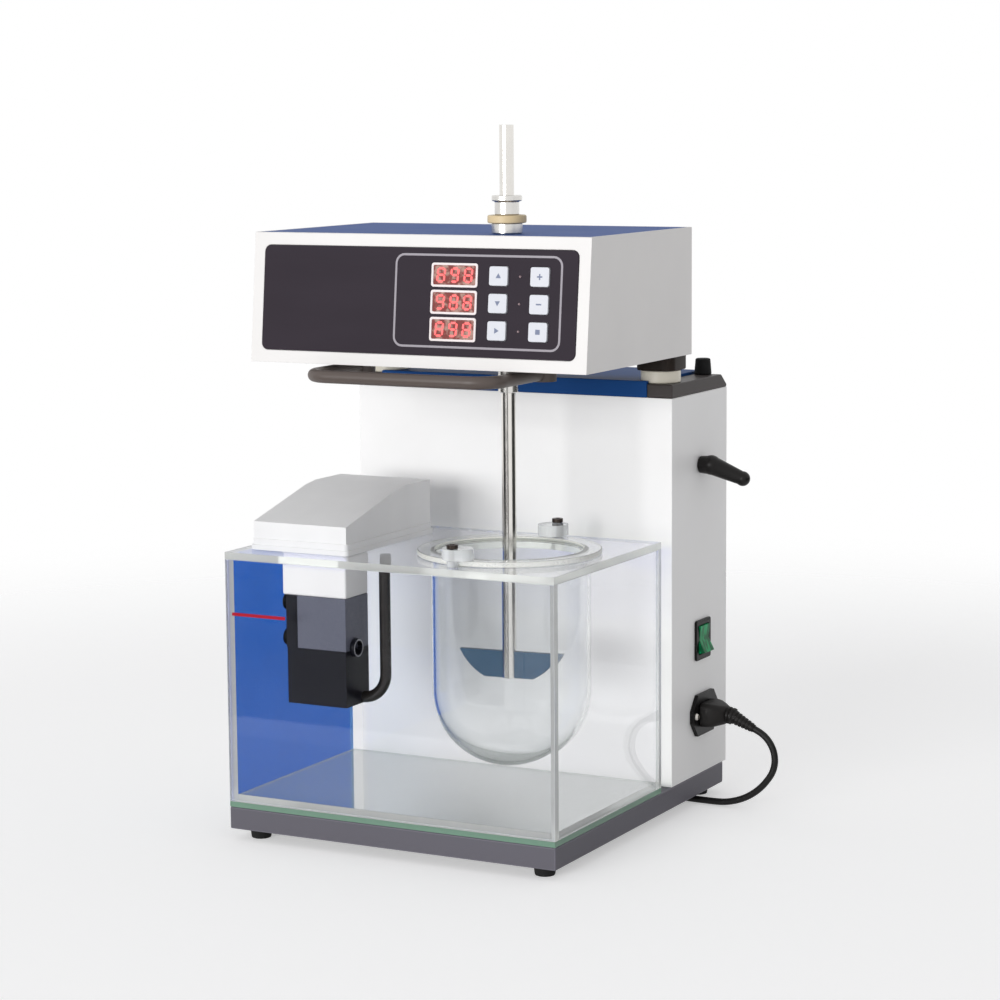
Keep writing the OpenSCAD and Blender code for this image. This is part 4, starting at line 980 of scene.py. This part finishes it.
class TESTER_OT_base(bpy.types.Operator):
    """Finish the base slab, its feet and the glass plate on it"""

    bl_idname = "tester.base"
    bl_label = "Base"

    def execute(self, context):
        colours = context.scene.tester_colours
        paint = painted("base_paint", colours.base, rough=0.5, peel=0.05 * MM)
        worn = painted("base_paint_edge", shaded(colours.base, 1.35), rough=0.42, peel=0.03 * MM)
        finished("base_plate", paint, 1.0 * MM, worn)
        finished("base_feet", rubber("foot_rubber", tone(24, 24, 24)), 0.8 * MM)
        edge = cut_edge("plate_glass_edge", tone(164, 205, 182), rough=0.12)
        cut_sheet("base_glass", self.plate_glass(), 0.4 * MM, edge)
        return {"FINISHED"}

    def plate_glass(self):
        """Greenish glass, pale and mostly opaque: its paleness is painted reflection of the light
        surroundings, over the glass's own green.
        """
        finish = Finish("plate_glass", Roughness=0.08, IOR=1.5, Transmission_Weight=0.12)
        finish.shade(finish.grain(80 * MM, 3), tone(200, 209, 201), 0.9, 1.08)
        return finish.material


class TESTER_OT_bath(bpy.types.Operator):
    """Finish the clear bath with its blue side, its lid and the red fill line"""

    bl_idname = "tester.bath"
    bl_label = "Bath"

    def execute(self, context):
        colours = context.scene.tester_colours
        sheet = clear("clear_acrylic", tone(254, 254, 255), bend=1.36, deep=(0.9, 0.92, 1.0), density=3)
        edge = cut_edge("acrylic_edge", tone(250, 252, 249), rough=0.16)
        bright = clear("floor_acrylic", tone(254, 254, 255), bend=1.62, deep=(0.9, 0.94, 0.94), density=3)
        for node, finish in {"tank_floor": bright, "tank_walls": sheet, "tank_lid": sheet}.items():
            cut_sheet(node, finish, 0.4 * MM, edge)
        cut_sheet("tank_left_wall", tinted_wall(colours.tint), 0.3 * MM, edge)
        self.fill_line()
        return {"FINISHED"}

    def fill_line(self):
        """The red line on the bath's front that shows how high to fill it."""
        low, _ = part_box("tank_walls")
        red = painted("fill_line_red", tone(172, 28, 46), rough=0.4, peel=0.01 * MM, shine=0.1)
        begin, end, level = 5.4 * MM, 49.4 * MM, 164 * MM
        tall, corner = 2.3 * MM, 0.3 * MM
        back, front = 0.02 * MM, 0.12 * MM
        middle = Vector((low.x + (begin + end) / 2, low.y, level))
        place = turned_place(middle, math.radians(90), "X")
        mesh = plate_mesh(round_ring(end - begin, tall, corner, 3), back, front, place)
        add_piece("fill_line", mesh, red, "stand")


FLANGE_THICK = 4 * MM
# Faces whose normal rises more than this lie level
LEVEL = 0.9


class TESTER_OT_vessel(bpy.types.Operator):
    """Finish the glass vessel and its two retainers"""

    bl_idname = "tester.vessel"
    bl_label = "Vessel"

    def execute(self, context):
        # A share of 1.5 % of the vessel's glass is dull near-white, which brightens the vessel: painted light
        glass = clear(
            "vessel_glass", tone(254, 255, 255), bend=1.38, deep=(0.72, 0.78, 0.72), density=14,
            haze=0.0, through=0.985,
        )
        # The flange's sides are near-white and only partly clear: painted highlight for the bright glints of
        # the glass flange
        rim = cut_edge("flange_rim", tone(255, 255, 248), rough=0.2, through=0.3)
        _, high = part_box("vessel")
        vessel = finished("vessel", glass, 1.1 * MM, steps=3, ease=AIR)
        vessel.data.materials.append(rim)
        flange_low = high.z - FLANGE_THICK
        refinish(vessel, 1, lambda face: face.center.z > flange_low and abs(face.normal.z) < LEVEL)
        disc = clear("retainer_acrylic", tone(252, 253, 254), bend=1.42, deep=(0.86, 0.9, 0.92), density=8)
        side = cut_edge("retainer_side", tone(250, 252, 252), rough=0.14, through=0.6)
        for node in ("front_retainer", "back_retainer"):
            piece = finished(node, disc, 0.8 * MM, side, ease=AIR)
            refinish(piece, 1, lambda face: abs(face.normal.z) < LEVEL)
        dark = ground_steel("dark_steel", tone(74, 66, 62), rough=0.32, stretch=(1, 1, 1))
        finished("retainer_screws", dark, 0.4 * MM)
        return {"FINISHED"}


class TESTER_OT_circulator(bpy.types.Operator):
    """Finish the circulator: cover, block, pump, cups and hose"""

    bl_idname = "tester.circulator"
    bl_label = "Circulator"

    def execute(self, context):
        colours = context.scene.tester_colours
        white = moulded("white_plastic", colours.moulding, rough=0.32, pit=0.015 * MM)
        black = moulded("pump_black", tone(20, 21, 29), rough=0.36, shine=0.2)
        smoke = moulded("pump_grey", tone(100, 103, 117), rough=0.25, pit=0.008 * MM, shine=0.3)
        finished("circulator_cover", white, 1.4 * MM, steps=3)
        finished("circulator_block", white, 2.5 * MM, steps=4)
        finished("pump_case", smoke, 0.8 * MM)
        finished("pump_chamber", black, 1.6 * MM, steps=3)
        finished("mounting_cups", rubber("cup_rubber", tone(18, 18, 18)), 0.3 * MM)
        hose = moulded("hose_black", tone(30, 27, 26), rough=0.22, pit=0.01 * MM, shine=0.6)
        finished("circulator_hose", hose)
        coated("pump_impeller", white)
        coated("heating_element", ground_steel("heater_steel", tone(176, 170, 160), rough=0.3))
        self.corner_trim(black)
        self.nozzle_ring(moulded("nozzle_grey", tone(150, 151, 158), rough=0.3))
        return {"FINISHED"}

    def corner_trim(self, finish):
        """The black strip that wraps the left front corner of the pump's grey case."""
        low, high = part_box("pump_case")
        wide, deep, thin = 8.5 * MM, 16 * MM, 0.4 * MM
        corner = [(0, 0), (wide, 0), (wide, -thin), (-thin, -thin), (-thin, deep), (0, deep)]
        mesh = plate_mesh(corner, low.z, high.z, Matrix.Translation((low.x, low.y, 0)))
        add_piece("pump_corner_trim", mesh, finish, "stand")

    def nozzle_ring(self, finish):
        """The light rim of the pump's round outlet."""
        low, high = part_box("pump_chamber")
        across, from_middle = 13 * MM, 4 * MM
        outside, inside, thick = 12.6 * MM, 10.6 * MM, 0.15 * MM
        middle = Vector((high.x, (low.y + high.y) / 2 - from_middle, high.z - across / 2))
        place = turned_place(middle, math.radians(90), "Y")
        outer, inner = (round_ring(size, size, size / 2) for size in (outside, inside))
        add_piece("nozzle_ring", frame_mesh(outer, inner, 0, thick, place), finish, "stand")


# Column


class TESTER_OT_column(bpy.types.Operator):
    """Finish the column with its cap, lift and clamp"""

    bl_idname = "tester.column"
    bl_label = "Column"

    def execute(self, context):
        colours = context.scene.tester_colours
        white = painted("white_paint", colours.white, rough=0.4)
        dark = moulded("end_piece_grey", tone(62, 56, 55), rough=0.42, shine=0.25)
        steel = ground_steel("post_steel", tone(212, 210, 206), rough=0.18)
        bush = moulded("bush_ivory", tone(236, 230, 213), rough=0.3)
        finished("column_housing", white, 1.2 * MM, steps=3)
        finished("column_back", painted("back_paint", shaded(colours.white, 0.86), rough=0.45), 0.5 * MM)
        finished("column_cap", painted("cap_blue", colours.cap, rough=0.5, shine=0.08), 1.0 * MM)
        finished("cap_ends", dark, 1.0 * MM)
        finished("cap_pegs", rubber("peg_rubber", tone(15, 15, 16)), 1.0 * MM)
        finished("guide_bushes", bush, 1.0 * MM)
        finished("guide_posts", steel, 0.5 * MM)
        finished("post_sockets", moulded("socket_brown", tone(36, 27, 21), rough=0.45, shine=0.2), 1.0 * MM)
        lever = moulded("lever_black", tone(16, 14, 13), rough=0.34, pit=0.02 * MM, shine=0.25)
        finished("clamp_lever", lever, 0.6 * MM)
        cast = ground_steel("cast_aluminium", tone(168, 168, 170), rough=0.45, stretch=(1, 1, 1))
        coated("guide_beam", cast)
        coated("power_supply", painted("iron_core", tone(96, 92, 88), rough=0.6))
        return {"FINISHED"}


class TESTER_OT_mains(bpy.types.Operator):
    """Finish the rocker switch and the mains inlet"""

    bl_idname = "tester.mains"
    bl_label = "Switch and inlet"

    def execute(self, context):
        colours = context.scene.tester_colours
        black = moulded("switch_black", tone(14, 12, 12), rough=0.35, shine=0.2)
        # The rocker is given a faint glow, and streaks of darker and lighter green whose lighter parts glow
        # more: painted glow and painted highlights
        green = Finish("rocker_green", Roughness=0.3, Specular_IOR_Level=0.15, Emission_Strength=0.3)
        glow_streaks = green.step(green.grain(3.5 * MM, 2, (1, 1, 0.35)), 0.4, 0.68)
        green.shade(glow_streaks, colours.rocker, 0.4, 1.2)
        green.set(Emission_Color=green.mixed(glow_streaks, shaded(colours.rocker, 0.2), colours.rocker))
        finished("rocker_bezel", black, 0.6 * MM)
        finished("rocker_switch", green.material, 0.5 * MM)
        finished("inlet_socket", black, 0.6 * MM)
        return {"FINISHED"}


# Head


class TESTER_OT_head(bpy.types.Operator):
    """Finish the head's shell, cover, floor and handle"""

    bl_idname = "tester.head"
    bl_label = "Head"

    def execute(self, context):
        colours = context.scene.tester_colours
        # The shell takes the darker copy of the white paint: painted shade
        finished("head_shell", painted("head_paint", colours.head, rough=0.38), 0.9 * MM)
        cover = painted("cover_blue", colours.cover, rough=0.5, peel=0.02 * MM, shine=0.08)
        finished("head_cover", cover, 0.4 * MM)
        finished("head_floor", painted("floor_paint", tone(150, 148, 150), rough=0.5), 0.5 * MM)
        finished("lift_handle", moulded("handle_brown", colours.handle, rough=0.42, pit=0.03 * MM), 0.8 * MM)
        return {"FINISHED"}


HEAD_LEAN = 9.4 * MM
PANEL_FACE = 0.5 * MM
DISPLAY_FACE = 1.1 * MM
DISPLAY_ROWS = (18.6 * MM, 0, -18.6 * MM)
DISPLAY_ACROSS = 30 * MM
LAMP_ACROSS = 80.5 * MM
# Bars of a seven-bar digit: place across and up in halves of its size, and whether it stands upright
DIGIT_BARS = {
    "a": (0, 1, False), "b": (1, 0.5, True), "c": (1, -0.5, True), "d": (0, -1, False),
    "e": (-1, -0.5, True), "f": (-1, 0.5, True), "g": (0, 0, False),
}
DIGITS = {
    "0": "abcdef", "1": "bc", "2": "abged", "3": "abgcd", "4": "fgbc",
    "5": "afgcd", "6": "afgedc", "7": "abc", "8": "abcdefg", "9": "abcdfg",
}
DIGIT_SLANT = math.radians(5)
KEY_FACE = 2.1 * MM
MARK_RISE = 0.05 * MM
# Outlines of the plain marks on the keys, in millimetres: up, plus, down, minus, go and stop
KEY_MARKS = [
    [(-2, -1.5), (2, -1.5), (0, 1.9)],
    [
        (-0.5, -2), (0.5, -2), (0.5, -0.5), (2, -0.5), (2, 0.5), (0.5, 0.5),
        (0.5, 2), (-0.5, 2), (-0.5, 0.5), (-2, 0.5), (-2, -0.5), (-0.5, -0.5),
    ],
    [(0, -1.9), (2, 1.5), (-2, 1.5)],
    [(-2, -0.5), (2, -0.5), (2, 0.5), (-2, 0.5)],
    [(-1.5, -2), (1.9, 0), (-1.5, 2)],
    [(-1.7, -1.7), (1.7, -1.7), (1.7, 1.7), (-1.7, 1.7)],
]


def head_face():
    """The frame of the head's leaning front: X across, Y up it and Z out of it."""
    low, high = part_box("head_shell")
    middle = Vector(((low.x + high.x) / 2, low.y + HEAD_LEAN / 2, (low.z + high.z) / 2))
    lean = math.atan(HEAD_LEAN / (high.z - low.z))
    return turned_place(middle, math.radians(90) - lean, "X")


class TESTER_OT_panel(bpy.types.Operator):
    """Finish the front panel with its outline, displays, digits, lamps and keys"""

    bl_idname = "tester.panel"
    bl_label = "Front panel"

    def execute(self, context):
        colours = context.scene.tester_colours
        panel = context.scene.tester_panel
        face = head_face()
        finished("front_panel", film("panel_film", colours.panel), 0.25 * MM)
        self.outline(panel, face)
        self.displays(face)
        self.digits(panel, face)
        self.lamps(face)
        self.keys(face)
        coated("control_board", moulded("board_green", tone(28, 92, 58), rough=0.4))
        return {"FINISHED"}

    def outline(self, panel, face):
        """The light printed line round the displays and keys."""
        ink = film("outline_ink", tone(168, 163, 170))
        width, height, line = panel.outline_width, panel.outline_height, panel.outline_line
        rise, corner, thick = 0.7 * MM, 7 * MM, 0.06 * MM
        place = face @ Matrix.Translation((panel.outline_across, rise, PANEL_FACE))
        outer = round_ring(width, height, corner)
        inner = round_ring(width - 2 * line, height - 2 * line, corner - line)
        add_piece("panel_outline", frame_mesh(outer, inner, 0, thick, place), ink, "head")

    def displays(self, face):
        """A pale frame and a dull red window for each display."""
        rim = moulded("display_rim", tone(236, 226, 226), rough=0.35)
        window = self.window_film()
        wide, tall, border = 36 * MM, 16.5 * MM, 1.5 * MM
        outer = round_ring(wide, tall, 1.8 * MM)
        inner = round_ring(wide - 2 * border, tall - 2 * border, 1.0 * MM)
        back, front = PANEL_FACE - 1 * MM, PANEL_FACE + 0.15 * MM
        windows = []
        for row, rise in enumerate(DISPLAY_ROWS, 1):
            place = face @ Matrix.Translation((DISPLAY_ACROSS, rise, 0))
            mesh = frame_mesh(outer, inner, PANEL_FACE, DISPLAY_FACE, place)
            add_piece(f"display_rim_{row}", mesh, rim, "head")
            mesh = plate_mesh(inner, back, front, place)
            windows.append(add_piece(f"display_window_{row}", mesh, window, "head"))
        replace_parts(windows[0], "displays")

    def window_film(self):
        """Dull red film over a display, with random paler patches."""
        finish = Finish("display_window", Roughness=0.35, Specular_IOR_Level=0.1)
        patches = finish.step(finish.grain(4 * MM, 2), 0.42, 0.66)
        finish.set(Base_Color=finish.mixed(patches, tone(132, 68, 64), tone(180, 146, 134)))
        return finish.material

    def digits(self, panel, face):
        """The bars of every digit: one piece for those that are lit and one for the rest."""
        bars = {True: [], False: []}
        turn = face.to_3x3()
        level, gap, thick = PANEL_FACE + 0.2 * MM, 0.3 * MM, 0.12 * MM
        slanted = Vector((math.sin(DIGIT_SLANT), math.cos(DIGIT_SLANT), 0))
        for reading, rise in zip(panel.readings.split(), DISPLAY_ROWS):
            for column, digit in enumerate(reading):
                across = DISPLAY_ACROSS + (column - 1) * panel.digit_pitch
                for bar, (half_u, half_v, upright) in DIGIT_BARS.items():
                    v = half_v * panel.digit_height / 2
                    u = half_u * panel.digit_width / 2 + v * math.tan(DIGIT_SLANT)
                    point = face @ Vector((across + u, rise + v, level))
                    way = slanted if upright else RIGHT
                    bars[bar in DIGITS[digit]].append((point, turn @ UP, turn @ way))
        tree = segment_tree()
        sizes = {"Length": panel.digit_height / 2 - gap, "Width": panel.segment_width, "Depth": thick}
        glow = lit("digit_lit", tone(255, 84, 84), glow=tone(255, 92, 92), strength=0.75)
        set_out("digits_lit", tree, bars[True], sizes, glow, "head", "display_red")
        if bars[False]:
            dull = film("digit_unlit", tone(142, 82, 78))
            set_out("digits_unlit", tree, bars[False], sizes, dull, "head", "display_red")

    def lamps(self, face):
        """Three small indicator lamps between the keys."""
        out = face.to_3x3() @ UP
        points = [(face @ Vector((LAMP_ACROSS, rise, PANEL_FACE)), out, RIGHT) for rise in DISPLAY_ROWS]
        dull = moulded("lamp_grey", tone(150, 128, 132), rough=0.25)
        set_out("indicator_lamps", dome_tree(), points, {"Radius": 0.9 * MM}, dull, "head", "key_film")

    def keys(self, face):
        """The six keys, with their rims softened and a plain mark on each."""
        cap = moulded("key_film", tone(222, 224, 231), rough=0.4, pit=0.01 * MM, shine=0.2)
        ink = film("key_ink", tone(132, 140, 164))
        for number, mark in enumerate(KEY_MARKS, 1):
            finished(f"key_{number}", cap, 1.2 * MM, steps=4)
            low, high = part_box(f"key_{number}")
            middle = face.inverted() @ ((low + high) / 2)
            place = face @ Matrix.Translation((middle.x, middle.y, KEY_FACE))
            mesh = plate_mesh([(u * MM, v * MM) for u, v in mark], -MARK_RISE, MARK_RISE, place)
            add_piece(f"key_mark_{number}", mesh, ink, f"key_{number}")


class TESTER_OT_drive(bpy.types.Operator):
    """Finish the stirrer: spindle, chuck, shaft and paddle, and the drive inside the head"""

    bl_idname = "tester.drive"
    bl_label = "Drive"

    def execute(self, context):
        colours = context.scene.tester_colours
        steel = ground_steel("bright_steel", tone(232, 229, 224), rough=0.16)
        turned = ground_steel("turned_steel", tone(222, 220, 216), rough=0.2, stretch=(1, 1, 1))
        finished("stirrer_shaft", steel, 0.5 * MM)
        paddle = ground_steel("paddle_steel", colours.blade, rough=0.3, stretch=(0.05, 1, 1))
        finished("paddle_blade", paddle, 0.3 * MM)
        finished("spindle", turned, 0.6 * MM)
        finished("chuck_collar", moulded("collar_beige", colours.collar, rough=0.42), 1.0 * MM)
        finished("chuck_nut", turned, 0.8 * MM)
        coated("drive_motor", painted("motor_paint", tone(70, 72, 78), rough=0.5))
        coated("motor_pulley", turned)
        coated("drive_belt", rubber("belt_rubber", tone(26, 26, 26)))
        coated("spindle_housing", turned)
        coated("spindle_bearings", steel)
        return {"FINISHED"}


class TESTER_OT_screws(bpy.types.Operator):
    """Set out the small screws of the inlet, the column's back and the handle"""

    bl_idname = "tester.screws"
    bl_label = "Screws"

    def execute(self, context):
        tree = screw_tree()
        steel = ground_steel("screw_steel", tone(196, 192, 186), rough=0.28, stretch=(1, 1, 1))
        # Places of the screws, the width and rise of their heads in millimetres, and their body
        sets = {
            "inlet_screws": (self.inlet(), 5.4, 1.6, "stand"),
            "back_screws": (self.back(), 6, 1.6, "stand"),
            "handle_screws": (self.handle(), 6.6, 2, "head"),
        }
        for name, (points, head, rise, body) in sets.items():
            sizes = {"Head": head * MM, "Rise": rise * MM}
            set_out(name, tree, points, sizes, steel, body, "bright_steel")
        return {"FINISHED"}

    def inlet(self):
        """Two screws in the ears of the inlet."""
        low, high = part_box("inlet_socket")
        ear = 6 * MM
        middle = (low.z + high.z) / 2
        return [(Vector((high.x, y, middle)), RIGHT, UP) for y in (low.y + ear, high.y - ear)]

    def back(self):
        """Six screws down the sides of the column's back."""
        low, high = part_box("column_back")
        edge = 8 * MM
        levels = (low.z + 2 * edge, (low.z + high.z) / 2, high.z - 2 * edge)
        return [(Vector((x, high.y, z)), BACK, UP) for x in (low.x + edge, high.x - edge) for z in levels]

    def handle(self):
        """A screw in the recess of each handle lug."""
        low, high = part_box("lift_handle")
        lug_r, recess = 9 * MM, 3 * MM
        ends = (low.x + lug_r, high.x - lug_r)
        return [(Vector((x, high.y - lug_r, low.z + recess)), -UP, RIGHT) for x in ends]


OPERATORS = (
    TESTER_OT_stage, TESTER_OT_lead, TESTER_OT_base, TESTER_OT_bath, TESTER_OT_vessel, TESTER_OT_circulator,
    TESTER_OT_column, TESTER_OT_mains, TESTER_OT_head, TESTER_OT_panel, TESTER_OT_drive, TESTER_OT_screws,
)
SETTINGS = {
    "tester_stage": StageSettings, "tester_colours": ColourSettings,
    "tester_lead": LeadSettings, "tester_panel": PanelSettings,
}


class TESTER_PT_sidebar(bpy.types.Panel):
    """Lists the steps and the settings of the tester's looks"""

    bl_label = "Dissolution tester"
    bl_idname = "TESTER_PT_sidebar"
    bl_space_type = "VIEW_3D"
    bl_region_type = "UI"
    bl_category = "Tester"

    def draw(self, context):
        for operator in OPERATORS:
            self.layout.operator(operator.bl_idname)
        for name, group in SETTINGS.items():
            box = self.layout.box()
            for setting in group.__annotations__:
                box.prop(getattr(context.scene, name), setting)


def register():
    for kind in (*SETTINGS.values(), *OPERATORS, TESTER_PT_sidebar):
        bpy.utils.register_class(kind)
    for name, group in SETTINGS.items():
        setattr(bpy.types.Scene, name, PointerProperty(type=group))


def unregister():
    for name in SETTINGS:
        delattr(bpy.types.Scene, name)
    for kind in (TESTER_PT_sidebar, *reversed(OPERATORS), *SETTINGS.values()):
        bpy.utils.unregister_class(kind)


def main():
    register()
    for operator in OPERATORS:
        step = operator.bl_idname.split(".")[1]
        getattr(bpy.ops.tester, step)()


if __name__ == "__main__":
    main()
